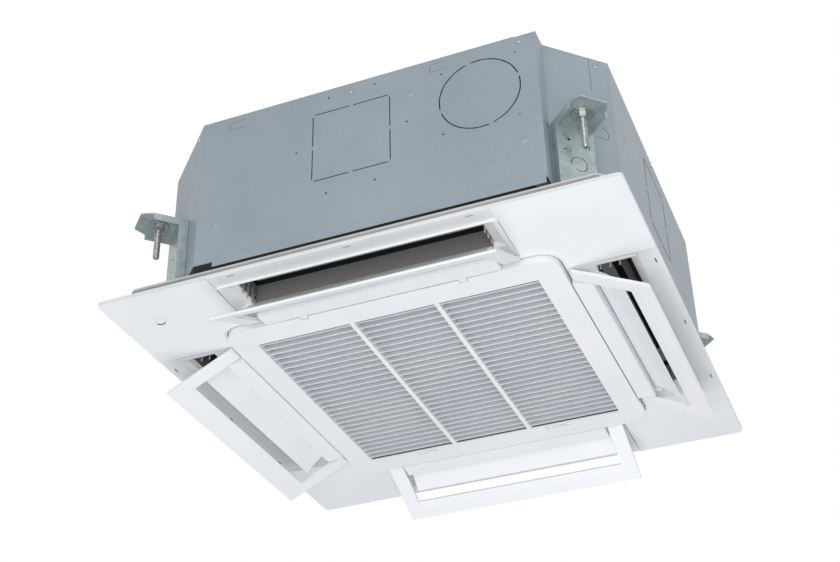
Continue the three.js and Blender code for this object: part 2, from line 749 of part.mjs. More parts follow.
function frameBody() {
  const low = FRAME_PIN_Z - FRAME_DROP;
  const high = low + FRAME_THICKNESS;
  const r0 = FRAME_PIN_R + 1;
  const r1 = FRAME_PIN_R + FRAME_REACH;
  const barInner = r1 - FRAME_BAR_WIDTH;
  const section = [
    [barInner, low + 2.4], [barInner + 17, low], [r1, low], [r1, high - 1.5], [r1 - 8, high],
    [barInner, high],
  ];
  const bar = alongY(section, -FRAME_HALF_LENGTH, FRAME_HALF_LENGTH);
  const parts = [bar];
  const armStart = FRAME_HALF_LENGTH - FRAME_ARM_WIDTH;
  for (const s of [-1, 1]) {
    const edges = [s * armStart, s * FRAME_HALF_LENGTH].sort((a, b) => a - b);
    parts.push(box(r0, barInner + 20, edges[0], edges[1], low, high));
    const k0 = s * KNUCKLE_T - KNUCKLE_WIDTH / 2;
    const k1 = s * KNUCKLE_T + KNUCKLE_WIDTH / 2;
    parts.push(box(FRAME_PIN_R - 3, FRAME_PIN_R + KNUCKLE_RADIUS, k0, k1, high - 1, FRAME_PIN_Z));
    parts.push(rod('y', KNUCKLE_RADIUS, k0, k1, FRAME_PIN_R, FRAME_PIN_Z, 12));
  }
  const bore = rod('y', FRAME_PIN_RADIUS + GAP + 0.1, -FRAME_HALF_LENGTH - 5, FRAME_HALF_LENGTH + 5,
    FRAME_PIN_R, FRAME_PIN_Z, 8);
  return tilt(join(parts).subtract(bore), FRAME_PIN_R, FRAME_PIN_Z, FRAME_ANGLE);
}

// Housing of the two geared motors at one end of an outlet.
function driveBody() {
  const t0 = OUTLET_HALF_LENGTH + 20 + GAP;
  const low = floorTop + GAP;
  const deep = box(OUTLET_INNER - 12, OUTLET_INNER + 26, t0, t0 + 34, low, 28);
  const side = box(intakeHalf + GRILLE_WALL + GAP, OUTLET_INNER + 26, t0 + 14, t0 + 34, low, 28);
  return join([deep, side]);
}

function addOutlets(group) {
  SIDES.forEach((name, k) => {
    group.add(toMesh(`flap_${name}`, quarterTurn(flapBody(), k), 'whitePlastic'));
    group.add(toMesh(`draught_frame_${name}`, quarterTurn(frameBody(), k), 'whitePlastic'));
    group.add(toMesh(`flap_drive_${name}`, quarterTurn(driveBody(), k), 'darkPlastic'));
  });
}

// ---- intake grille, latches and filter ----
function latchWindow(x) {
  const y0 = LOUVRE_DEPTH / 2 + 3;
  return [x - LATCH_LENGTH / 2 - 14, x + LATCH_LENGTH / 2 + 14, y0, y0 + 10 + LATCH_TRAVEL];
}

// The plate with its three louvre openings and the rim wall that stands on it.
function grillePlate() {
  const lx = LOUVRE_LENGTH / 2;
  const ly = LOUVRE_DEPTH / 2;
  const face = grilleFace + GRILLE_PLATE;
  const outer = roundedSquare(grilleHalf, GRILLE_CORNER_RADIUS);
  const inner = roundedSquare(grilleHalf - GRILLE_WALL, GRILLE_CORNER_RADIUS - GRILLE_WALL);
  const plate = prism(outer, grilleFace, grilleTop).subtract(prism(inner, face, grilleTop + 1));
  const edge = DIVIDER_X + DIVIDER_WIDTH / 2;
  const columns = [[-lx, -edge], [-edge + DIVIDER_WIDTH, edge - DIVIDER_WIDTH], [edge, lx]];
  return cut(plate, columns.map(([x0, x1]) => box(x0, x1, -ly, ly, grilleFace - 1, grilleTop + 1)));
}

// Sloping slats, with the ribs and rails behind the plate that carry them.
function louvres() {
  const lx = LOUVRE_LENGTH / 2;
  const ly = LOUVRE_DEPTH / 2;
  const pitch = LOUVRE_DEPTH / SLAT_COUNT;
  const low = grilleFace + 0.4;
  const high = low + SLAT_RISE;
  const root = grilleFace + GRILLE_PLATE - 1;
  const parts = [];
  for (let i = 0; i < SLAT_COUNT; i += 1) {
    const y = -ly + (pitch - SLAT_LEAN) / 2 + i * pitch;
    const thick = SLAT_THICKNESS;
    const section = [[y, low], [y + thick, low], [y + thick + SLAT_LEAN, high], [y + SLAT_LEAN, high]];
    parts.push(alongX(section, -lx - 2, lx + 2));
  }
  for (const s of [-1, 1]) {
    const rail = [s * lx, s * (lx + GRILLE_WALL)].sort((a, b) => a - b);
    const rib = DIVIDER_WIDTH / 2;
    parts.push(box(...rail, -ly - 3, ly + 3, root, high + 1));
    parts.push(box(s * DIVIDER_X - rib, s * DIVIDER_X + rib, -ly - 3, ly + 3, root, high + 1));
  }
  return parts;
}

function grilleBody() {
  const face = grilleFace + GRILLE_PLATE;
  const body = join([grillePlate(), ...louvres()]);
  const cuts = [];
  const pins = [];
  for (const s of [-1, 1]) {
    const x = s * GRILLE_HINGE_X;
    const half = TONGUE_WIDTH / 2 + 1;
    cuts.push(box(x - half, x + half, -grilleHalf - 1, hingeY + 5, grilleFace - 1, grilleTop + 1));
    pins.push(rod('x', HINGE_PIN_RADIUS, x - half - 2, x + half + 2, hingeY, hingeZ, 12));
    for (const cheek of [-half - 4, half]) {
      pins.push(box(x + cheek, x + cheek + 4, -grilleHalf + 1, hingeY + 4.5, grilleFace + 0.5, hingeZ + 4));
    }
    const [x0, x1, y0, y1] = latchWindow(s * LATCH_X);
    cuts.push(box(x0, x1, y0, y1, grilleFace - 1, face + 1));
  }
  return join([cut(body, cuts), ...pins]);
}

function latchBody(x) {
  const [x0, x1, y0, y1] = latchWindow(x);
  const face = grilleFace + GRILLE_PLATE;
  const half = LATCH_LENGTH / 2;
  const knob = box(x - half, x + half, y1 - 8 - GAP, y1 - GAP, grilleFace + 0.5, face + 2.4);
  const slider = box(x0 - 5, x1 + 5, y0 + LATCH_TRAVEL, y1 + 3, face + GAP, face + 2.4);
  const bolt = box(x - 6, x + 6, y1, grilleHalf - GRILLE_WALL - GAP, face + GAP, face + 3.4);
  return join([knob, slider, bolt]);
}

function filterBody() {
  const half = grilleHalf - 1;
  const cellHalf = half - 12;
  const cells = [];
  const count = Math.round((2 * cellHalf) / FILTER_RIB_PITCH);
  const pitch = (2 * cellHalf) / count;
  const rib = FILTER_RIB_WIDTH / 2;
  for (let i = 0; i < count; i += 1) {
    for (let j = 0; j < count; j += 1) {
      const x = -cellHalf + i * pitch;
      const y = -cellHalf + j * pitch;
      cells.push(box(x + rib, x + pitch - rib, y + rib, y + pitch - rib, FILTER_MESH, FILTER_THICKNESS + 1));
    }
  }
  return cut(prism(roundedSquare(half, GRILLE_CORNER_RADIUS - 1, 4), 0, FILTER_THICKNESS), cells);
}

function addGrille(group) {
  group.add(toMesh('intake_grille', grilleBody(), 'whitePlastic'));
  group.add(toMesh('grille_latch_left', latchBody(-LATCH_X), 'whitePlastic'));
  group.add(toMesh('grille_latch_right', latchBody(LATCH_X), 'whitePlastic'));
  group.add(toMesh('air_filter', filterBody(), 'greyPlastic'));
}

// ---- inside: gasket, drain pan, bell mouth, fan, motor, coil, pipes, drain and controls ----
function drainPan() {
  const slotOuter = OUTLET_OUTER - 15;
  const trough = ringPrism(
    roundedSquare(COIL_OUTER + 2, COIL_CORNER_RADIUS), roundedSquare(COIL_OUTER - COIL_THICKNESS - 7, 30),
    troughFloor, panTop + 1,
  );
  const cuts = [prism(roundedSquare(262, 60), casingBottom - 1, panTop + 1), trough];
  for (let k = 0; k < 4; k += 1) {
    const half = OUTLET_HALF_LENGTH;
    const slot = box(OUTLET_INNER, slotOuter, -half, half, casingBottom - 1, panTop + 1);
    cuts.push(quarterTurn(slot, k));
  }
  return cut(prism(octagon(SHEET + GAP), casingBottom + GAP, panTop), cuts);
}

function linerBody() {
  const low = panTop + GAP;
  const walls = ringPrism(octagon(SHEET + GAP), octagon(SHEET + GAP + FOAM), low, topInside - GAP);
  const lid = prism(octagon(SHEET + GAP + 1), topInside - LID_FOAM, topInside - GAP);
  const hole = rod('z', MOTOR_RADIUS + 34, topInside - 25, topInside + 5, 0, 0, 24);
  const reach = [casingHalf - 30, casingHalf + 5];
  return cut(join([walls, lid]), [
    hole,
    rod('y', GAS_PIPE_RADIUS + 1, ...reach, ...pipeHoles.gas),
    rod('y', LIQUID_PIPE_RADIUS + 1, ...reach, ...pipeHoles.liquid),
    rod('y', GLAND_RADIUS + 1, ...reach, ...pipeHoles.gland),
    rod('x', DRAIN_TUBE_RADIUS + 1, -casingHalf - 5, -casingHalf + 30, DRAIN_Y, DRAIN_Z),
  ]);
}

function gasketBody() {
  return ringPrism(octagon(SHEET), octagon(SHEET + GASKET_WIDTH), gasketBottom, gasketTop);
}

function bellMouth() {
  const low = casingBottom - BELL_SHEET;
  const height = FAN_BOTTOM - FAN_CLEARANCE - low;
  const disc = BELL_INLET_RADIUS + 16;
  const plate = prism(roundedSquare(BELL_PLATE / 2, 20), low, casingBottom);
  const hole = rod('z', disc - 2, low - 1, casingBottom + 1, 0, 0, 30);
  const outer = [[disc, low], [disc, casingBottom], [BELL_INLET_RADIUS + BELL_SHEET, casingBottom]];
  const inner = [[BELL_INLET_RADIUS, low]];
  const steps = 4;
  for (let i = 1; i <= steps; i += 1) {
    const angle = (i / steps) * (Math.PI / 2);
    const r = BELL_INLET_RADIUS - (BELL_INLET_RADIUS - BELL_THROAT_RADIUS) * Math.sin(angle);
    const z = low + height * (1 - Math.cos(angle));
    inner.push([r, z]);
    outer.push([r + BELL_SHEET, Math.max(z, casingBottom + 0.5 * i)]);
  }
  outer[outer.length - 1][1] = low + height;
  return plate.subtract(hole).add(turned([...outer, ...inner.reverse()]));
}

function bladeOutline() {
  const outer = [];
  const inner = [];
  for (let i = 0; i <= 4; i += 1) {
    const u = i / 4;
    const r = 122 + (FAN_RADIUS - 2 - 122) * u;
    const angle = -0.75 * u - 0.1 * u * u;
    const half = BLADE_THICKNESS / 2 / r;
    outer.push([r * Math.cos(angle + half), r * Math.sin(angle + half)]);
    inner.push([r * Math.cos(angle - half), r * Math.sin(angle - half)]);
  }
  return [...inner, ...outer.reverse()];
}

function fanBody() {
  const top = FAN_BOTTOM + FAN_HEIGHT;
  const hub = turned([
    [SHAFT_RADIUS + GAP, top - 62], [22, top - 62], [26, top - 44], [95, top - 6], [FAN_RADIUS, top - 3],
    [FAN_RADIUS, top], [92, top - 1], [24, top - 38], [SHAFT_RADIUS + GAP, top - 38],
  ]);
  const eye = FAN_INLET_RADIUS;
  const shroud = turned([
    [eye, FAN_BOTTOM], [eye + 4, FAN_BOTTOM], [eye + 13, FAN_BOTTOM + 15],
    [FAN_RADIUS, FAN_BOTTOM + 27], [FAN_RADIUS, FAN_BOTTOM + 30], [eye + 10, FAN_BOTTOM + 19],
    [eye, FAN_BOTTOM + 4],
  ]);
  const blades = [];
  for (let i = 0; i < BLADE_COUNT; i += 1) {
    const blade = prism(bladeOutline(), FAN_BOTTOM + 23.5, top - 2);
    blades.push(blade.rotate([0, 0, (360 / BLADE_COUNT) * i]));
  }
  return join([hub, shroud, ...blades]);
}

function motorShaft() {
  const top = FAN_BOTTOM + FAN_HEIGHT;
  const shaft = rod('z', SHAFT_RADIUS, top - 80, motorBottom - GAP, 0, 0);
  const nut = hex(top - 76, top - 62 - GAP, 0);
  return shaft.add(nut);
}

const motorBottom = topInside - GAP - 18 - MOTOR_HEIGHT;
function motorBody() {
  const flangeTop = topInside - GAP;
  return turned([
    [0, motorBottom], [MOTOR_RADIUS - 12, motorBottom], [MOTOR_RADIUS, motorBottom + 12],
    [MOTOR_RADIUS, flangeTop - 8], [MOTOR_RADIUS + 30, flangeTop - 8], [MOTOR_RADIUS + 30, flangeTop],
    [0, flangeTop],
  ], 24);
}

// Fin pack bent round the fan, open at the corner where the pipes join, and hollow from the top.
function coilBody() {
  const low = troughFloor + GAP;
  const high = low + COIL_HEIGHT;
  const block = (shrink, z0, z1) => {
    const outer = roundedSquare(COIL_OUTER - shrink, COIL_CORNER_RADIUS - shrink);
    const inner = roundedSquare(COIL_OUTER - COIL_THICKNESS + shrink, COIL_CORNER_RADIUS - 20 + shrink);
    const start = COIL_OPEN_CORNER - shrink;
    const open = box(-COIL_OUTER - 5, -start, start, COIL_OUTER + 5, z0 - 1, z1 + 1);
    return ringPrism(outer, inner, z0, z1).subtract(open);
  };
  return block(0, low, high).subtract(block(COIL_SKIN, low + COIL_SKIN, high + 1));
}

// A pipe from the coil's end along x, then out through the far wall, with its flare nut.
function refrigerantPipe(radius, [x, z]) {
  const y = COIL_OUTER - COIL_THICKNESS / 2;
  return join([
    rod('x', radius, x, -COIL_OPEN_CORNER - GAP, y, z),
    rod('y', radius, y - radius, PIPE_END, x, z),
    rod('y', radius * 1.7, PIPE_END - 24, PIPE_END - 4, x, z, 6),
  ]);
}

function drainPump() {
  const low = troughFloor + GAP;
  const [l, w] = [PUMP_LENGTH / 2, PUMP_WIDTH / 2];
  const body = box(-PUMP_X - l, -PUMP_X + l, DRAIN_Y - w, DRAIN_Y + w, low, low + PUMP_HEIGHT);
  const top = low + PUMP_HEIGHT + PUMP_HEAD_HEIGHT;
  return body.add(rod('z', PUMP_HEAD_RADIUS, low + PUMP_HEIGHT - 1, top, -PUMP_X, DRAIN_Y));
}

function drainSocket() {
  const low = troughFloor + GAP + PUMP_HEIGHT + PUMP_HEAD_HEIGHT + GAP;
  const tube = join([
    rod('z', DRAIN_TUBE_RADIUS, low, DRAIN_Z, -PUMP_X, DRAIN_Y),
    rod('x', DRAIN_TUBE_RADIUS, -PIPE_END, -PUMP_X + DRAIN_TUBE_RADIUS, DRAIN_Y, DRAIN_Z),
  ]);
  return tube.subtract(rod('x', DRAIN_TUBE_RADIUS - 3, -PIPE_END - 1, -PIPE_END + 40, DRAIN_Y, DRAIN_Z));
}

function wiringGland() {
  const [bore, body, flange] = [GLAND_BORE, GLAND_RADIUS, GLAND_RADIUS + 5];
  const ring = turned([[bore, -6], [body, -6], [body, 0], [flange, 0], [flange, 4], [bore, 4]], 16);
  return ring.rotate([-90, 0, 0]).translate([pipeHoles.gland[0], casingHalf + GAP, pipeHoles.gland[1]]);
}

// Flat box under the bell mouth's plate; its lid laps past it on every side.
function controlBox(lap, z0, z1) {
  const [l, w] = [CONTROL_LENGTH / 2 + lap, CONTROL_WIDTH / 2 + lap];
  return box(-CONTROL_X - l, -CONTROL_X + l, CONTROL_Y - w, CONTROL_Y + w, z0, z1);
}

function addInside(group) {
  group.add(toMesh('casing_gasket', gasketBody(), 'blackFoam'));
  group.add(toMesh('insulation_liner', linerBody(), 'greyFoam'));
  group.add(toMesh('drain_pan', drainPan(), 'greyFoam'));
  group.add(toMesh('bell_mouth', bellMouth(), 'greyPlastic'));
  group.add(toMesh('turbo_fan', fanBody(), 'greyPlastic'));
  group.add(toMesh('motor_shaft', motorShaft(), 'boltSteel'));
  group.add(toMesh('fan_motor', motorBody(), 'darkPlastic'));
  group.add(toMesh('heat_exchanger', coilBody(), 'aluminium'));
  group.add(toMesh('gas_pipe', refrigerantPipe(GAS_PIPE_RADIUS, pipeHoles.gas), 'copper'));
  group.add(toMesh('liquid_pipe', refrigerantPipe(LIQUID_PIPE_RADIUS, pipeHoles.liquid), 'copper'));
  group.add(toMesh('drain_pump', drainPump(), 'darkPlastic'));
  group.add(toMesh('drain_socket', drainSocket(), 'darkPlastic'));
  group.add(toMesh('wiring_gland', wiringGland(), 'darkPlastic'));
  const under = casingBottom - BELL_SHEET - GAP;
  const low = under - CONTROL_HEIGHT;
  const lid = controlBox(CONTROL_LID_LAP, low - GAP - CONTROL_LID, low - GAP);
  group.add(toMesh('control_box', controlBox(0, low, under), 'steel'));
  group.add(toMesh('control_box_lid', lid, 'steel'));
}

function build() {
  const group = new THREE.Group();
  group.name = 'ceiling_cassette_air_conditioner';
  addCasing(group);
  addHangers(group);
  addPanel(group);
  addOutlets(group);
  addGrille(group);
  addInside(group);
  return group;
}

export default build();
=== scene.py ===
import math

import bpy
from mathutils import Matrix, Vector


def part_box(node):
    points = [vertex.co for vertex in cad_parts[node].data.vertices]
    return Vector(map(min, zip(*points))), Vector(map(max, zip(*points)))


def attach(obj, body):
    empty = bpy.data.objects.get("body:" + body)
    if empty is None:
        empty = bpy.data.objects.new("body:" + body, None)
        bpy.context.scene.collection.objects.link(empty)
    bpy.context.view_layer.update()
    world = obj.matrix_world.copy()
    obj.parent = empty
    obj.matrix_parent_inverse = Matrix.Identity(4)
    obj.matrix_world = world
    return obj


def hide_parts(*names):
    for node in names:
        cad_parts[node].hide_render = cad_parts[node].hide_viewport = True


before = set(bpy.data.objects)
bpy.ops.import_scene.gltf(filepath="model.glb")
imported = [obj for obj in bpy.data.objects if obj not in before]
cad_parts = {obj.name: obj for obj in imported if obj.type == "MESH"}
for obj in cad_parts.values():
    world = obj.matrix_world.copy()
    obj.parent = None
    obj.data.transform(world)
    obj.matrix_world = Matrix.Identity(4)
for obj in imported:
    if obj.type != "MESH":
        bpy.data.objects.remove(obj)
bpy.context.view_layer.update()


# ---- room and camera ----
# The unit hangs over a plain pale floor in soft studio light, and the camera looks up at it from
# below one corner, which is how an installed cassette is seen with its casing still uncovered.
class Value:
    """One output socket of a node, so that a sum of sockets is written like a sum of numbers."""

    def __init__(self, tree, socket):
        self.tree = tree
        self.socket = socket

    def maths(self, operation, first, second):
        return self.tree.node("ShaderNodeMath", {"operation": operation}, {0: first, 1: second})

    def __add__(self, other):
        return self.maths("ADD", self, other)

    def __mul__(self, other):
        return self.maths("MULTIPLY", self, other)

    def __mod__(self, other):
        return self.maths("FLOORED_MODULO", self, other)

    def __gt__(self, other):
        return self.maths("GREATER_THAN", self, other)

    __radd__ = __add__
    __rmul__ = __mul__


class Tree:
    """A node tree that is built one node at a time."""

    def __init__(self, tree):
        self.tree = tree

    def feed(self, socket, value):
        if isinstance(value, Value):
            self.tree.links.new(value.socket, socket)
        else:
            socket.default_value = value

    def node(self, kind, settings, values, out=0):
        made = self.tree.nodes.new(kind)
        for key, setting in settings.items():
            if key == "stops":
                for stop, (place, shade) in zip(made.color_ramp.elements, setting):
                    stop.position = place
                    stop.color = (shade, shade, shade, 1)
            else:
                setattr(made, key, setting)
        for key, value in values.items():
            self.feed(made.inputs[key], value)
        return Value(self, made.outputs[out])


scene = bpy.context.scene
scene.view_settings.view_transform = "Standard"

camera = bpy.data.objects.new("camera", bpy.data.cameras.new("camera"))
scene.collection.objects.link(camera)
scene.camera = camera
camera.data.lens = 61.08
camera.data.sensor_width = 36
camera_right = Vector((0.927197, 0.37403, -0.020182))
camera_up = Vector((0.220603, -0.501731, 0.836421))
camera_back = Vector((0.30272, -0.779979, -0.547716))
camera.matrix_world = Matrix((camera_right, camera_up, camera_back)).transposed().to_4x4()
camera.location = (0.816645, -2.233185, -1.349667)

world = bpy.data.worlds.new("studio")
scene.world = world
world.use_nodes = True
studio = Tree(world.node_tree)
world_light = world.node_tree.nodes["Background"]
world_light.inputs["Color"].default_value = (0.93, 0.96, 1, 1)
world_light.inputs["Strength"].default_value = 0.42
seen = studio.node("ShaderNodeLightPath", {}, {}, "Is Camera Ray")
mirrored = studio.node("ShaderNodeLightPath", {}, {}, "Is Glossy Ray")
through = studio.node("ShaderNodeLightPath", {}, {}, "Is Transmission Ray")
white = studio.node("ShaderNodeBackground", {}, {"Color": (1, 1, 1, 1), "Strength": 1}).socket
either = (seen + mirrored + through) > 0.5
mixed = studio.node("ShaderNodeMixShader", {}, {0: either})
world_mix = mixed.socket.node
world.node_tree.links.new(world_light.outputs[0], world_mix.inputs[1])
world.node_tree.links.new(white, world_mix.inputs[2])
world.node_tree.links.new(mixed.socket, world.node_tree.nodes["World Output"].inputs["Surface"])


def lamp(name, place, target, width, watts):
    """A square soft box at place that faces target."""
    light = bpy.data.lights.new(name, "AREA")
    light.shape = "SQUARE"
    light.size = width
    light.energy = watts
    holder = bpy.data.objects.new(name, light)
    scene.collection.objects.link(holder)
    holder.location = place
    away = Vector(place) - Vector(target)
    holder.rotation_euler = away.to_track_quat("Z", "Y").to_euler()


lamp("lamp_front", (0.5, -2.7, -1.5), (0, 0, 0), 2.2, 56)
lamp("lamp_below", (0.2, 0.3, -2.4), (0.2, 0.2, 0), 2.2, 24)
lamp("lamp_right", (3.0, -0.6, 0.4), (0, 0, 0.1), 1.6, 15)

bpy.ops.mesh.primitive_plane_add(size=14, location=(0, 0, -2.6))
floor = bpy.context.object
floor.name = "floor"
floor_paint = bpy.data.materials.new("floor")
floor_paint.use_nodes = True
floor_shader = floor_paint.node_tree.nodes["Principled BSDF"]
floor_shader.inputs["Base Color"].default_value = (0.86, 0.86, 0.86, 1)
floor_shader.inputs["Roughness"].default_value = 0.8
floor.data.materials.append(floor_paint)


# ---- casing ----
# Folded zinc-coated sheet in a satin blue-grey: four walls, a chamfered plate at each corner and
# a lid, screwed together. The near and right walls have push-out plates for branch ducts.
MM = 0.001


class Finish(Tree):
    """A surface made from nodes, measured on the object's own coordinates in metres."""

    def __init__(self, name, slot):
        self.material = bpy.data.materials.new(name)
        self.material.use_nodes = True
        self.slot = slot
        super().__init__(self.material.node_tree)
        self.shader = self.tree.nodes["Principled BSDF"]
        self.place = self.node("ShaderNodeTexCoord", {}, {}, "Object")

    def noise(self, size, detail=2):
        """Soft cloud of values from 0 to 1 whose patches are about size millimetres across."""
        values = {"Vector": self.place, "Scale": 1 / (size * MM), "Detail": detail}
        return self.node("ShaderNodeTexNoise", {}, values)

    def grains(self, size):
        """Distance to the middle of the nearest grain, for grains of size millimetres."""
        return self.node("ShaderNodeTexVoronoi", {}, {"Vector": self.place, "Scale": 1 / (size * MM)})

    def axis(self, name):
        return self.node("ShaderNodeSeparateXYZ", {}, {0: self.place}, name)

    def ramp(self, value, low, high, dark=0, light=1):
        return self.node("ShaderNodeValToRGB", {"stops": [(low, dark), (high, light)]}, {0: value})

    def colour(self, share, first, second):
        """Base colour that goes from first to second where share goes from 0 to 1."""
        mixed = self.node("ShaderNodeMix", {"data_type": "RGBA"}, {0: share, 6: first, 7: second}, 2)
        self.feed(self.shader.inputs["Base Color"], mixed)

    def rough(self, value, low, high, smooth, coarse):
        """Roughness that goes from smooth to coarse where value goes from low to high."""
        self.feed(self.shader.inputs["Roughness"], self.ramp(value, low, high, smooth, coarse))

    def metal(self, value):
        self.shader.inputs["Metallic"].default_value = value

    def relief(self, height, depth, strength=1):
        """Bump of depth millimetres where height goes from 0 to 1."""
        values = {"Height": height, "Distance": depth * MM, "Strength": strength}
        self.feed(self.shader.inputs["Normal"], self.node("ShaderNodeBump", {}, values))


def srgb(red, green, blue):
    """A colour given as it looks on a screen, from 0 to 255."""
    return tuple((part / 255) ** 2.2 for part in (red, green, blue)) + (1,)


def select_only(piece):
    bpy.ops.object.select_all(action="DESELECT")
    piece.select_set(True)
    bpy.context.view_layer.objects.active = piece


def copy_of(node, name):
    """The node's shape as a new piece, with its loose triangles joined at their corners."""
    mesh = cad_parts[node].data.copy()
    mesh.materials.clear()
    piece = bpy.data.objects.new(name, mesh)
    scene.collection.objects.link(piece)
    select_only(piece)
    if mesh.has_custom_normals:
        bpy.ops.mesh.customdata_custom_splitnormals_clear()
    bpy.ops.object.mode_set(mode="EDIT")
    bpy.ops.mesh.select_all(action="SELECT")
    bpy.ops.mesh.remove_doubles(threshold=0.01 * MM)
    bpy.ops.object.mode_set(mode="OBJECT")
    return piece


def modify(piece, kind, settings):
    modifier = piece.modifiers.new(kind, kind)
    for key, value in settings.items():
        setattr(modifier, key, value)
    select_only(piece)
    bpy.ops.object.modifier_apply(modifier=modifier.name)


def ease(piece, radius, angle=38):
    """Rounds the sharp edges off to a radius in millimetres and smooths what is round."""
    settings = {"width": radius * MM, "segments": 2, "limit_method": "ANGLE"}
    settings.update({"angle_limit": math.radians(30), "use_clamp_overlap": False})
    if radius > 0:
        modify(piece, "BEVEL", settings)
    select_only(piece)
    bpy.ops.object.shade_smooth_by_angle(angle=math.radians(angle))
    modify(piece, "WEIGHTED_NORMAL", {"mode": "FACE_AREA", "weight": 60, "keep_sharp": True})


def finish(piece, paint, body="unit", nodes=()):
    """Gives a piece its surface and the body it moves with, and hides the nodes it stands for."""
    piece.data.materials.clear()
    piece.data.materials.append(paint.material)
    if nodes:
        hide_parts(*nodes)
    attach(piece, body)
    return piece


def dress(node, paint, radius=0.4, body="unit"):
    piece = copy_of(node, node + "_shell")
    ease(piece, radius)
    return finish(piece, paint, body, [node])


casing_paint = Finish("casing_zinc_coat", "casing_steel")
zinc_patches = casing_paint.noise(140, 3)
zinc_spangle = casing_paint.noise(9, 4)
zinc_tone = casing_paint.ramp(zinc_patches * 0.6 + zinc_spangle * 0.4, 0.35, 0.65)
casing_paint.colour(zinc_tone, srgb(148, 159, 167), srgb(158, 169, 177))
casing_paint.rough(zinc_spangle, 0.3, 0.7, 0.42, 0.54)
casing_paint.metal(0.15)
casing_paint.relief(casing_paint.noise(2.5, 3), 0.03, 0.5)


def drum(radius, depth, place, direction, sides=20):
    """Plain round cutter that lies along direction."""
    turn = Vector(direction).to_track_quat("Z", "Y").to_euler()
    bpy.ops.object.select_all(action="DESELECT")
    bpy.ops.mesh.primitive_cylinder_add(
        vertices=sides, radius=radius * MM, depth=depth * MM,
        location=Vector(place) * MM, rotation=turn,
    )
    return bpy.context.object


def joined(parts, name):
    """Parts as one piece, placed at the origin with its shape in its mesh."""
    bpy.ops.object.select_all(action="DESELECT")
    for part in parts:
        part.select_set(True)
    bpy.context.view_layer.objects.active = parts[0]
    bpy.ops.object.join()
    whole = bpy.context.object
    whole.name = name
    bpy.ops.object.transform_apply(location=True, rotation=True, scale=True)
    return whole


def punch(piece, cutters):
    """Cuts the shapes out of the piece and throws them away."""
    tool = joined(cutters, "punch")
    modify(piece, "BOOLEAN", {"object": tool, "operation": "DIFFERENCE", "solver": "EXACT"})
    bpy.data.objects.remove(tool)


def lathe(name, profile, centre, direction, steps=24):
    """Round piece from (radius, height) points in millimetres, turned about direction at centre."""
    mesh = bpy.data.meshes.new(name)
    points = [(radius * MM, 0, height * MM) for radius, height in profile]
    mesh.from_pydata(points, [(i, i + 1) for i in range(len(points) - 1)], [])
    piece = bpy.data.objects.new(name, mesh)
    scene.collection.objects.link(piece)
    select_only(piece)
    bpy.ops.object.mode_set(mode="EDIT")
    bpy.ops.mesh.select_all(action="SELECT")
    bpy.ops.mesh.spin(steps=steps, angle=math.tau, center=(0, 0, 0), axis=(0, 0, 1))
    bpy.ops.mesh.select_all(action="SELECT")
    bpy.ops.mesh.remove_doubles(threshold=0.005 * MM)
    bpy.ops.mesh.normals_make_consistent(inside=False)
    bpy.ops.object.mode_set(mode="OBJECT")
    turn = Vector(direction).to_track_quat("Z", "Y").to_matrix().to_4x4()
    mesh.transform(Matrix.Translation(Vector(centre) * MM) @ turn)
    return piece


def wire(name, points, radius):
    """Round wire through points in millimetres, drawn as a curve and turned into a mesh."""
    curve = bpy.data.curves.new(name, "CURVE")
    curve.dimensions = "3D"
    curve.bevel_depth = radius * MM
    curve.bevel_resolution = 1
    curve.use_fill_caps = True
    line = curve.splines.new("POLY")
    line.points.add(len(points) - 1)
    for point, place in zip(line.points, points):
        point.co = (*(Vector(place) * MM), 1)
    piece = bpy.data.objects.new(name, curve)
    scene.collection.objects.link(piece)
    select_only(piece)
    bpy.ops.object.convert(target="MESH")
    return bpy.context.object


def slab(name, outline, origin, along, up, depth):
    """Plate with an outline of (along, up) points in millimetres, depth thick towards along x up."""
    mesh = bpy.data.meshes.new(name)
    points = [(Vector(origin) + Vector(along) * a + Vector(up) * b) * MM for a, b in outline]
    mesh.from_pydata(points, [], [range(len(points))])
    piece = bpy.data.objects.new(name, mesh)
    scene.collection.objects.link(piece)
    modify(piece, "SOLIDIFY", {"thickness": depth * MM, "offset": 1})
    return piece


def arc(centre, radius, start, end, steps=8):
    """Points of a round stretch, with its angles in degrees."""
    angles = [math.radians(start + (end - start) * i / steps) for i in range(steps + 1)]
    return [(centre[0] + radius * math.cos(a), centre[1] + radius * math.sin(a)) for a in angles]


def tab_cut(origin, along, outline, radius=0.9):
    """Round bead along an open line on a wall: the cutter for a thin break, or what fills one."""
    points = [Vector(origin) + Vector(along) * a + Vector((0, 0, b)) for a, b in outline]
    return wire("tab_cut", points, radius)


CASING_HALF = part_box("casing_wall_right")[1].x / MM
near_small_holes = [
    (102.7, 248), (170, 197), (308, 197), (308, 336), (170.5, 333),
    (-49, 352.5), (42, 355), (-111, 245), (-50.6, 137.6), (42, 139),
]
near_large_holes = [(110.6, 309.5), (312, 140)]
near_wall = copy_of("casing_wall_near", "casing_near_cover")
near_cutters = [drum(2, 12, (x, -CASING_HALF, z), (0, 1, 0), 12) for x, z in near_small_holes]
tab_line = [(34, 0), (0, 0), *arc((8, 9), 8, 180, 90, 4), (32, 17)]
for tab_x, tab_z in ((-251, 342), (149, 344)):
    near_cutters.append(tab_cut((tab_x, 0.5 - CASING_HALF, tab_z), (1, 0, 0), tab_line))
punch(near_wall, near_cutters)
ease(near_wall, 0.3)
finish(near_wall, casing_paint, "unit", ["casing_wall_near"])

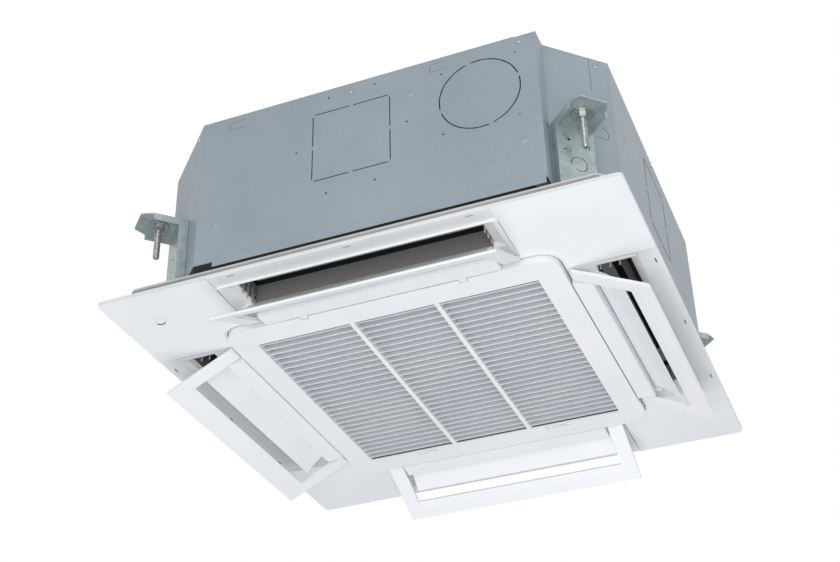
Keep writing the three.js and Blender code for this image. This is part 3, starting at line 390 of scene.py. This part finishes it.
right_wall = copy_of("casing_wall_right", "casing_right_cover")
right_holes = [(-204, 171, 2.5), (-229, 352, 2.5), (46, 356, 2.5), (198, 168, 2.2), (-266, 334, 2)]
right_cutters = [drum(r, 12, (CASING_HALF, y, z), (1, 0, 0), 12) for y, z, r in right_holes]
right_slits = [(-240, 236, 253), (236, 244, 259), (261, 350, 366)]
for slit_y, slit_low, slit_high in right_slits:
    slit = [(0, slit_low), (0, slit_high)]
    right_cutters.append(tab_cut((CASING_HALF - 0.5, slit_y, 0), (0, 1, 0), slit, 1.4))
punch(right_wall, right_cutters)
ease(right_wall, 0.3)
finish(right_wall, casing_paint, "unit", ["casing_wall_right"])

for wall_name in ("casing_top", "casing_wall_far", "casing_wall_left"):
    dress(wall_name, casing_paint, 0.3)

CORNERS = ("far_right", "far_left", "near_left", "near_right")
PLATE_D = (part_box("casing_wall_right")[1].y + CASING_HALF * MM) / MM * math.sqrt(0.5)


def corner_axes(index):
    """Outward direction of a corner, and the direction along its plate."""
    angle = math.radians(45 + 90 * index)
    outward = Vector((math.cos(angle), math.sin(angle), 0))
    return outward, Vector((-outward.y, outward.x, 0))


seam_line = [(54.5, 295), (54.5, 375)]
lance_line = [(56, 191.5), (78, 191.5), *arc((66, 203), 12, 0, 90, 5)]
for index, corner in enumerate(CORNERS):
    outward, along = corner_axes(index)
    corner_plate = copy_of("corner_plate_" + corner, "casing_corner_" + corner)
    middle = outward * (PLATE_D - 0.5)
    punch(corner_plate, [tab_cut(middle, along, seam_line, 0.8), tab_cut(middle, along, lance_line)])
    ease(corner_plate, 0.3)
    finish(corner_plate, casing_paint, "unit", ["corner_plate_" + corner])

COVER_LEFT = -268
COVER_RIGHT = 345
hem_section = [(-0.3, 61), (-1.4, 59.6), (-1.9, 43), (-1.2, 41.2), (-0.3, 41.2)]
hem_start = (COVER_LEFT, -CASING_HALF, 0)
hem = slab("near_cover_hem", hem_section, hem_start, (0, 1, 0), (0, 0, 1), COVER_RIGHT - COVER_LEFT)
ease(hem, 0)
finish(hem, casing_paint)


# ---- breaks round the push-out plates ----
# The plates for branch ducts hang on short bridges. A black bead in each thin break between the
# bridges is painted shade: it stands for the dark of the narrow breaks.
black_foam = Finish("black_sealing_foam", "black_foam")
black_pores = black_foam.grains(0.9)
black_foam.colour(black_foam.ramp(black_pores, 0.1, 0.7), srgb(14, 17, 19), srgb(34, 38, 40))
black_foam.rough(black_pores, 0.1, 0.7, 0.85, 0.97)
black_foam.relief(black_pores, 0.25, 0.7)

PLATE_HALF = 75
HALF_BRIDGE = 4
BEAD_RADIUS = 1.3
BEAD_DEPTH = 0.8
span_start = HALF_BRIDGE + 0.6
span_end = PLATE_HALF - span_start
square_plates = [
    ((-4, BEAD_DEPTH - CASING_HALF, 245), (1, 0, 0)),
    ((CASING_HALF - BEAD_DEPTH, 4, 254), (0, 1, 0)),
]
break_shade_beads = []
for origin, along in square_plates:
    for edge in (-PLATE_HALF, PLATE_HALF):
        for start, end in ((-span_end, -span_start), (span_start, span_end)):
            break_shade_beads.append(tab_cut(origin, along, [(start, edge), (end, edge)], BEAD_RADIUS))
            break_shade_beads.append(tab_cut(origin, along, [(edge, start), (edge, end)], BEAD_RADIUS))

ROUND_PLATE = (239, BEAD_DEPTH - CASING_HALF, 266)
FIRST_BRIDGE_END = 18
BOW_ANGLE = 82.5
for quarter in range(4):
    bow_start = quarter * 90 + FIRST_BRIDGE_END
    bow = arc((0, 0), PLATE_HALF - 0.6, bow_start, bow_start + BOW_ANGLE, 14)
    break_shade_beads.append(tab_cut(ROUND_PLATE, (1, 0, 0), bow, BEAD_RADIUS + 0.1))
break_shade_bead_set = joined(break_shade_beads, "push_out_break_shade")
finish(break_shade_bead_set, black_foam)


# ---- stand-offs and screws of the casing ----
# Pressed dimples stiffen the covers, and pan-head screws hold them along their top edges. The
# screws are plated steel with a shallow recess for the driver.
screw_steel = Finish("plated_screw", "bolt_steel")
screw_steel.colour(screw_steel.noise(3, 2), srgb(150, 156, 158), srgb(196, 200, 200))
screw_steel.rough(screw_steel.noise(1.5, 2), 0.3, 0.7, 0.25, 0.42)
screw_steel.metal(0.9)

dimple_profile = [(7.5, 0.05), (6.4, 0.9), (4.6, 1.7), (2.4, 2.1), (0, 2.2)]
dimples = [lathe("dimple", dimple_profile, (x, -CASING_HALF, z), (0, -1, 0)) for x, z in near_large_holes]
dimples.append(lathe("dimple", dimple_profile, (-269, -CASING_HALF, 131.5), (0, -1, 0)))
dimples.append(lathe("dimple", dimple_profile, (CASING_HALF, 197, 172), (1, 0, 0)))
dimple_set = joined(dimples, "casing_dimples")
ease(dimple_set, 0, 60)
finish(dimple_set, casing_paint)


def quarter_turn(turns):
    """Turn about the upright axis by a number of right angles."""
    return Matrix.Rotation(turns * math.pi / 2, 3, "Z")


screw_profile = [(4.4, 0.05), (4.3, 1.3), (3.4, 2.3), (1.9, 2.7), (1.7, 1.5), (0, 1.4)]
SCREW_LEVEL = 358
screw_places = [
    ((315, -CASING_HALF, 357.5), (0, -1, 0)), ((-3.6, -CASING_HALF, 351), (0, -1, 0)),
    ((CASING_HALF, -2, SCREW_LEVEL), (1, 0, 0)), ((CASING_HALF, 267, SCREW_LEVEL), (1, 0, 0)),
]
for wall_index in (1, 2):
    wall_out = quarter_turn(wall_index) @ Vector((1, 0, 0))
    wall_side = quarter_turn(wall_index) @ Vector((0, 1, 0))
    for across in (-270, -2, 270):
        place = wall_out * CASING_HALF + wall_side * across + Vector((0, 0, SCREW_LEVEL))
        screw_places.append((place, wall_out))
for index in range(4):
    outward, along = corner_axes(index)
    screw_places.append((outward * PLATE_D + along * 67 + Vector((0, 0, SCREW_LEVEL - 3)), outward))
screws = [lathe("screw", screw_profile, place, out, 16) for place, out in screw_places]
screw_set = joined(screws, "casing_screws")
ease(screw_set, 0, 40)
finish(screw_set, screw_steel)


# ---- hanging brackets ----
# Each corner has a pressed, galvanised rail with a lug that is folded out at its top. A threaded
# rod comes down through the lug's slot and holds it on a washer and a hexagon nut.
bracket_zinc = Finish("galvanised_bracket", "bracket_steel")
bracket_cloud = bracket_zinc.noise(22, 4)
bracket_grain = bracket_zinc.grains(5)
# The lighter patches are partly the zinc's own spangle and partly painted glints.
bracket_spangle_and_glint = bracket_zinc.ramp(bracket_cloud * 0.7 + bracket_grain * 0.3, 0.25, 0.65)
bracket_zinc.colour(bracket_spangle_and_glint, srgb(144, 158, 159), srgb(176, 187, 187))
bracket_zinc.rough(bracket_cloud, 0.3, 0.7, 0.3, 0.48)
bracket_zinc.metal(0.4)
bracket_zinc.relief(bracket_grain, 0.06, 0.6)

bolt_zinc = Finish("zinc_plated_rod", "bolt_steel")
# The lighter patches are partly plating tone and partly painted glints.
bolt_tone_and_glint = bolt_zinc.noise(5, 3)
bolt_zinc.colour(bolt_tone_and_glint, srgb(150, 156, 156), srgb(205, 208, 206))
bolt_zinc.rough(bolt_tone_and_glint, 0.3, 0.7, 0.22, 0.4)
bolt_zinc.metal(0.9)

RAIL_FACE_D = 546.2
rod_low, rod_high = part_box("hanger_bolt_near_right")
ROD_D = (rod_low.x + rod_high.x) / 2 / MM * math.sqrt(2)
ROD_BOTTOM = 117
ROD_TOP = 200
LOCK_NUT_Z = 196.3
THREAD_PITCH = 1.75
CREST = 6
ROOT = 5.2


def threaded_rod(name, place):
    """Rod with rings for its thread, a blunt lower end and a locking nut over the lug."""
    level = ROD_BOTTOM + 0.9
    profile = [(0, ROD_BOTTOM), (4.4, ROD_BOTTOM), (ROOT, level)]
    while level < ROD_TOP - THREAD_PITCH:
        profile.append((CREST, level + THREAD_PITCH * 0.4))
        profile.append((CREST, level + THREAD_PITCH * 0.6))
        profile.append((ROOT, level + THREAD_PITCH))
        level += THREAD_PITCH
    profile.append((0, level))
    rod = lathe(name, profile, place, (0, 0, 1), 18)
    ease(rod, 0, 20)
    nut = drum(10.8, 7.8, place + Vector((0, 0, LOCK_NUT_Z)), (0, 0, 1), 6)
    ease(nut, 0.8)
    return joined([rod, nut], name)


embossed_lines = [
    arc((-17, 124), 8, 20, 160),
    arc((12, 148), 14, -30, 60),
    [*arc((3, 104), 15, 190, -50, 14), (2, 90), (-4, 93)],
]
for index, corner in enumerate(CORNERS):
    outward, along = corner_axes(index)
    bracket = copy_of("hanger_bracket_" + corner, "hanger_bracket_rail_" + corner)
    face = outward * (RAIL_FACE_D - 1.5)
    cutters = [drum(3, 16, face + along * -12.3 + Vector((0, 0, 154)), outward, 12)]
    cutters.append(drum(3.6, 16, face + along * 4 + Vector((0, 0, 68)), outward, 14))
    cutters += [tab_cut(face, along, line, 1.7) for line in embossed_lines]
    punch(bracket, cutters)
    ease(bracket, 0.8)
    finish(bracket, bracket_zinc, "unit", ["hanger_bracket_" + corner])
    nut = copy_of("hanger_nut_" + corner, "hanger_nut_and_washer_" + corner)
    ease(nut, 0.7)
    finish(nut, bolt_zinc, "unit", ["hanger_nut_" + corner])
    rod = threaded_rod("hanger_rod_" + corner, outward * ROD_D)
    finish(rod, bolt_zinc, "unit", ["hanger_bolt_" + corner])


# ---- gasket and insulation ----
# A strip of black closed-cell foam seals the panel's band against the casing. The liner is foam glued
# inside the walls, painted dark as the shade seen through the covers' slits; the drain pan is moulded
# from pale bead foam.
dress("casing_gasket", black_foam, 0.8)

shaded_liner_foam = Finish("liner_foam_darkened_as_shade", "grey_foam")
# The liner's dark colour is painted shade, so the slits and breaks of the covers show dark.
liner_pores = shaded_liner_foam.grains(2.2)
shaded_liner_foam.colour(shaded_liner_foam.ramp(liner_pores, 0.1, 0.8), srgb(34, 36, 38), srgb(58, 60, 62))
shaded_liner_foam.rough(liner_pores, 0.1, 0.7, 0.85, 0.97)
shaded_liner_foam.relief(liner_pores, 0.2, 0.6)
dress("insulation_liner", shaded_liner_foam, 0)

grey_foam = Finish("grey_moulded_foam", "grey_foam")
grey_pores = grey_foam.grains(2.2)
grey_tone = grey_foam.ramp(grey_pores, 0.1, 0.8)
grey_foam.colour(grey_tone, srgb(190, 191, 190), srgb(210, 211, 210))
grey_foam.rough(grey_pores, 0.1, 0.7, 0.8, 0.95)
grey_foam.relief(grey_pores, 0.2, 0.6)
dress("drain_pan", grey_foam, 0.8)


# ---- panel ----
# The decorative panel is one injection moulding in white plastic with a fine matt grain. Its four
# ducts and inner strips stand up from a flat rim that hides the ceiling's edge. A separate band
# stands in a socket of the panel, and a flange round its top lies under the gasket.
def white_plastic(name, slot, cool, warm):
    """White moulded plastic with a fine grain and a trace of flow marks."""
    paint = Finish(name, slot)
    flow = paint.noise(180, 2)
    grain = paint.noise(0.7, 2)
    paint.colour(paint.ramp(flow, 0.35, 0.65), cool, warm)
    paint.rough(grain, 0.3, 0.7, 0.38, 0.5)
    paint.relief(grain, 0.02, 0.4)
    return paint


panel_white = white_plastic("panel_white", "white_plastic", srgb(228, 230, 233), srgb(233, 234, 236))
panel = copy_of("panel_body", "panel_moulding")
ease(panel, 0.5)
finish(panel, panel_white, "unit", ["panel_body"])
# The band and its flange are the panel's white plastic, painted greyer as the shade on their upright
# faces.
shaded_band_white = white_plastic("shaded_band_white", "white_plastic", srgb(206, 205, 203), srgb(215, 214, 212))
dress("panel_band", shaded_band_white, 0.5)


def octagon(half, start):
    """Eight-sided outline with flat sides at half and corners cut from start."""
    return [
        (start, -half), (half, -start), (half, start), (start, half),
        (-start, half), (-half, start), (-half, -start), (-start, -half),
    ]


BAND_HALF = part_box("panel_band")[1].x / MM
BAND_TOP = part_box("panel_band")[1].z / MM
FLANGE_HALF = BAND_HALF + 9
FLANGE_CORNER = 427
CUT_SLOPE = math.tan(math.pi / 8)
casing_start = PLATE_D * math.sqrt(2) - CASING_HALF
band_start = casing_start - (CASING_HALF - BAND_HALF) * CUT_SLOPE


def band_plate(half, start, low, depth):
    """Solid eight-sided plate that lies level, with its lower face at low."""
    return slab("band_plate", octagon(half, start), (0, 0, low), (1, 0, 0), (0, 1, 0), depth)


flange = band_plate(FLANGE_HALF, FLANGE_CORNER, BAND_TOP - 4.2, 4)
punch(flange, [band_plate(BAND_HALF + 0.2, band_start, BAND_TOP - 10, 20)])
split_line = [(0, 25), (0, 45)]
split_ends = [(x, -FLANGE_HALF, 0) for x in (COVER_LEFT, COVER_RIGHT)]
punch(flange, [tab_cut(end, (1, 0, 0), split_line, 0.5) for end in split_ends])
flange.name = "panel_band_flange"
ease(flange, 0.5)
finish(flange, shaded_band_white)


# ---- corner lids and receiver ----
# A thin lid snaps over each corner of the panel and hides its fixing screw. One lid has the
# dished window that the remote control's signal comes in through.
lid_white = white_plastic("lid_white", "lid_plastic", srgb(227, 229, 232), srgb(232, 234, 237))
LID_FACE = -8
seam_outline = [(256.5, 319.5), (258.4, 319.5), (258.4, 480), (256.5, 480)]
mirrored_outline = [(b, a) for a, b in seam_outline]


def seam_cuts(index):
    """Cutters that open the seam along the two straight sides of a corner lid."""
    across = quarter_turn(index) @ Vector((1, 0, 0))
    ahead = quarter_turn(index) @ Vector((0, 1, 0))
    start = (0, 0, LID_FACE - 1)
    return [slab("seam", line, start, across, ahead, 6) for line in (seam_outline, mirrored_outline)]


RECEIVER_CORNER = CORNERS.index("near_left")
for index, corner in enumerate(CORNERS):
    if index != RECEIVER_CORNER:
        lid = copy_of("corner_lid_" + corner, "lid_" + corner)
        punch(lid, seam_cuts(index))
        ease(lid, 0.3)
        finish(lid, lid_white, "unit", ["corner_lid_" + corner])

receiver_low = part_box("receiver_window")[0] / MM
receiver_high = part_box("receiver_window")[1] / MM
receiver_middle = (receiver_low + receiver_high) / 2
receiver_place = (receiver_middle.x, receiver_middle.y, LID_FACE)
receiver_lid = copy_of("corner_lid_near_left", "corner_lid_with_receiver")
dish_profile = [(0, 1), (11, 1), (18.5, -0.6), (0, -0.6)]
dish = lathe("dish", dish_profile, receiver_place, (0, 0, 1), 40)
punch(receiver_lid, [dish, *seam_cuts(RECEIVER_CORNER)])
ease(receiver_lid, 0.3)
finish(receiver_lid, lid_white, "unit", ["corner_lid_near_left"])

window_grey = Finish("receiver_tint", "grey_plastic")
window_grey.colour(window_grey.noise(4, 2), srgb(228, 230, 233), srgb(236, 238, 240))
window_grey.rough(window_grey.noise(2, 1), 0.3, 0.7, 0.18, 0.26)
lens_profile = [(0, 3), (8.6, 3), (8.6, 2.6), (7.4, 2.7), (4, 2.4), (0, 2.3)]
lens = lathe("receiver_lens", lens_profile, receiver_place, (0, 0, 1), 32)
ease(lens, 0)
finish(lens, window_grey, "unit", ["receiver_window"])
# A black arc along the top of the dish is a painted shadow of the dish's rim.
dish_shadow_line = [(x, y, LID_FACE + 0.5) for x, y in arc(receiver_place, 9.6, 40, 150, 10)]
dish_shadow_arc = wire("receiver_dish_shadow", dish_shadow_line, 0.9)
finish(dish_shadow_arc, black_foam)


# ---- flaps and draught frames ----
# Each outlet has a curved white flap on two stubs, and under it a hinged frame that swings down
# to keep the cooled air off the ceiling. Both are thin mouldings driven from one end.
SIDES = ("right", "far", "left", "near")
dark_plastic = Finish("dark_moulded_plastic", "dark_plastic")
dark_grain = dark_plastic.noise(0.8, 2)
dark_plastic.colour(dark_plastic.noise(40, 2), srgb(40, 42, 44), srgb(56, 58, 60))
dark_plastic.rough(dark_grain, 0.3, 0.7, 0.45, 0.6)
dark_plastic.relief(dark_grain, 0.03, 0.5)
for side_name in SIDES:
    dress("flap_" + side_name, panel_white, 0.5, "flap_" + side_name)
    dress("draught_frame_" + side_name, panel_white, 0.7, "frame_" + side_name)
    dress("flap_drive_" + side_name, dark_plastic, 1.0)


# ---- outlet linings ----
# A grey lining stands inside each duct's walls, darker than the white panel, and a black foam strip
# above it closes the joint to the drain pan. A sloping guide of moulded foam in the pan's slot leads the
# air down.
duct_lining = Finish("grey_duct_lining", "grey_foam")
lining_grain = duct_lining.noise(1.4, 4)
duct_lining.colour(duct_lining.ramp(lining_grain, 0.3, 0.7), srgb(122, 122, 120), srgb(142, 142, 139))
duct_lining.rough(lining_grain, 0.3, 0.7, 0.85, 0.97)
duct_lining.relief(lining_grain, 0.25, 0.7)

DUCT_INNER = 352.3
DUCT_OUTER = 423.7
DUCT_HALF = 225.7
SEAL_LOW = 42
SEAL_HIGH = 52.5
GUIDE_HALF = 225
GUIDE_THICKNESS = 1.2


def duct_ring(name, turns, low, high, thickness):
    """Rectangular sleeve that stands in one outlet, open above and below."""
    bpy.ops.object.select_all(action="DESELECT")
    bpy.ops.mesh.primitive_cube_add(size=1, location=(0, 0, 0))
    piece = bpy.context.object
    piece.name = name
    size = Vector((DUCT_OUTER - DUCT_INNER, 2 * DUCT_HALF, high - low)) * MM
    middle = Vector(((DUCT_OUTER + DUCT_INNER) / 2, 0, (high + low) / 2)) * MM
    piece.data.transform(Matrix.Translation(middle) @ Matrix.Diagonal((*size, 1)))
    bpy.ops.object.mode_set(mode="EDIT")
    bpy.ops.mesh.select_mode(type="FACE")
    bpy.ops.mesh.select_all(action="DESELECT")
    bpy.ops.object.mode_set(mode="OBJECT")
    for polygon in piece.data.polygons:
        polygon.select = abs(polygon.normal.z) > 0.5
    bpy.ops.object.mode_set(mode="EDIT")
    bpy.ops.mesh.delete(type="ONLY_FACE")
    bpy.ops.object.mode_set(mode="OBJECT")
    modify(piece, "SOLIDIFY", {"thickness": thickness * MM, "offset": -1})
    piece.data.transform(quarter_turn(turns).to_4x4())
    return piece


def guide_slab(name, turns, outline):
    """Plate as long as the guide, with an outline of (reach, height) points across the outlet."""
    start = quarter_turn(turns) @ Vector((0, GUIDE_HALF, 0))
    outwards = quarter_turn(turns) @ Vector((1, 0, 0))
    return slab(name, outline, start, outwards, (0, 0, 1), 2 * GUIDE_HALF)


guide_outline = [(353, 53.5), (354.2, 53.5), (381, 125), (379.8, 125)]
strip_face = [(364.5, 84), (365.7, 84), (372.6, 102), (371.4, 102)]
strip_outline = [(reach + GUIDE_THICKNESS, height) for reach, height in strip_face]
for turns, side_name in enumerate(SIDES):
    lining = duct_ring("outlet_lining_" + side_name, turns, 7, SEAL_LOW - 0.2, 0.7)
    finish(lining, duct_lining)
    seal = duct_ring("outlet_seal_" + side_name, turns, SEAL_LOW, SEAL_HIGH, 1.2)
    finish(seal, black_foam)
    guide = guide_slab("outlet_guide_" + side_name, turns, guide_outline)
    ease(guide, 0)
    finish(guide, grey_foam)
    strip = guide_slab("outlet_guide_strip_" + side_name, turns, strip_outline)
    finish(strip, black_foam)


# ---- clips of the rim ----
# Three clips on each side sit in the slots of the rim; their dark colour is painted shade of the
# slots, so they show as short dark dashes.
CLIP_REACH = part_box("panel_body")[1].x / MM - 11
CLIP_LEVEL = -5.3
clip_outline = [(-7, -1), (7, -1), (7, 1), (-7, 1)]
clips = []
for turns in range(4):
    outwards = quarter_turn(turns) @ Vector((1, 0, 0))
    along = quarter_turn(turns) @ Vector((0, -1, 0))
    for place in (-217, 0, 217):
        origin = quarter_turn(turns) @ Vector((CLIP_REACH, place, CLIP_LEVEL))
        clips.append(slab("clip", clip_outline, origin, along, outwards, 1))
clip_set = joined(clips, "rim_clips_shaded")
ease(clip_set, 0.2)
finish(clip_set, dark_plastic)


# ---- bearing ribs of the outlets ----
# Each end wall of a duct carries three upright ribs and a round bearing for the flap's stub, with a
# dark bush in it. Ribs and bearings are white plastic, painted grey as the shade deep in the outlet.
BEARING_PLACE = Vector((362, 0, 12))
DUCT_END = 225.8
rib_outline = [(0, -3), (0, 26), (2.2, 30), (3, 24), (3, 0), (1.4, -3)]
boss_profile = [(8, 0), (8, 2.2), (7.2, 3), (3.4, 3), (3.4, 0)]
bush_profile = [(3.2, 0), (3.2, 3.2), (2.6, 3.5), (0, 3.5)]


def end_bearings(turns, kind):
    """The ribs and bosses, or the bushes, at both ends of one outlet as one piece."""
    parts = []
    for end in (-1, 1):
        wall = Vector((0, end * DUCT_END, 0))
        inwards = Vector((0, -end, 0))
        if kind == "ribs":
            for reach in (371, 388, 405):
                origin = wall + Vector((reach, 0, 0))
                parts.append(slab("rib", rib_outline, origin, inwards, (0, 0, 1), 2.4))
            parts.append(lathe("boss", boss_profile, wall + BEARING_PLACE, inwards, 20))
        else:
            parts.append(lathe("bush", bush_profile, wall + BEARING_PLACE, inwards, 16))
    whole = joined(parts, "outlet_" + kind + "_" + SIDES[turns])
    whole.data.transform(quarter_turn(turns).to_4x4())
    return whole


rib_white_in_shade = white_plastic("rib_white_in_shade", "white_plastic", srgb(160, 160, 159), srgb(172, 172, 171))
for turns in range(4):
    ribs = end_bearings(turns, "ribs")
    ease(ribs, 0.3)
    finish(ribs, rib_white_in_shade)
    bushes = end_bearings(turns, "bushes")
    ease(bushes, 0)
    finish(bushes, dark_plastic)


# ---- intake grille ----
# The drop-down grille is one white moulding with a raised border and three columns of sloping
# slats. It hangs on two pins and is held shut by two sliding catches, with a woven filter behind.
dress("intake_grille", panel_white, 0.35, "grille")
dress("grille_latch_left", panel_white, 0.4, "latch_left")
dress("grille_latch_right", panel_white, 0.4, "latch_right")

filter_grey = Finish("filter_net", "grey_plastic")
FILTER_PITCH = 1.8
FILTER_HOLE = 1.1
thread_x = filter_grey.axis("X") % (FILTER_PITCH * MM) > FILTER_HOLE * MM
thread_y = filter_grey.axis("Y") % (FILTER_PITCH * MM) > FILTER_HOLE * MM
weave = thread_x.maths("MAXIMUM", thread_x, thread_y)
filter_grey.colour(weave, srgb(186, 188, 192), srgb(222, 224, 228))
filter_grey.rough(weave, 0, 1, 0.9, 0.6)
filter_grey.relief(weave, 0.3, 0.5)
dress("air_filter", filter_grey, 0, "filter")


# ---- fan, motor and bell mouth ----
# Air is drawn through a moulded bell mouth into a backward-curved wheel, which hangs on the
# shaft of a resin-cased motor bolted under the casing's lid.
fan_grey = Finish("fan_grey", "grey_plastic")
fan_grain = fan_grey.noise(0.9, 2)
fan_grey.colour(fan_grey.noise(70, 2), srgb(150, 153, 157), srgb(164, 167, 170))
fan_grey.rough(fan_grain, 0.3, 0.7, 0.42, 0.56)
fan_grey.relief(fan_grain, 0.03, 0.4)
dress("turbo_fan", fan_grey, 0, "fan")
dress("bell_mouth", fan_grey, 0)
dress("fan_motor", dark_plastic, 1.2)
dress("motor_shaft", bolt_zinc, 0.4, "fan")


# ---- coil and pipes ----
# The coil is a block of closely set aluminium fins bent round the fan, with copper pipes that
# leave through the far wall with a flare nut on each.
fin_metal = Finish("coil_fins", "aluminium")
FIN_PITCH = 1.6
FIN_GAP = 0.5
# The darker stripes are painted shade in the gaps between the fins.
fin_and_gap_shade = (fin_metal.axis("X") + fin_metal.axis("Y")) % (FIN_PITCH * MM) > FIN_GAP * MM
fin_metal.colour(fin_and_gap_shade, srgb(150, 153, 156), srgb(206, 209, 211))
fin_metal.rough(fin_metal.noise(14, 2), 0.3, 0.7, 0.5, 0.62)
fin_metal.metal(0.2)
fin_metal.relief(fin_and_gap_shade, 0.5, 0.8)
dress("heat_exchanger", fin_metal, 0.6)

copper = Finish("drawn_copper", "copper")
copper_cloud = copper.noise(12, 3)
copper.colour(copper.ramp(copper_cloud, 0.3, 0.7), srgb(168, 96, 60), srgb(206, 134, 96))
copper.rough(copper_cloud, 0.3, 0.7, 0.22, 0.42)
copper.metal(0.95)
dress("gas_pipe", copper, 0.3)
dress("liquid_pipe", copper, 0.3)


# ---- drain and wiring ----
# A lift pump raises condensate to the drain socket in the left wall. The cables come in through
# a gland to a flat steel box beside the bell mouth.
dress("drain_pump", dark_plastic, 1.0)
dress("drain_socket", dark_plastic, 0.6)
dress("wiring_gland", dark_plastic, 0.6)
dress("control_box", casing_paint, 0.6)
dress("control_box_lid", casing_paint, 0.6)
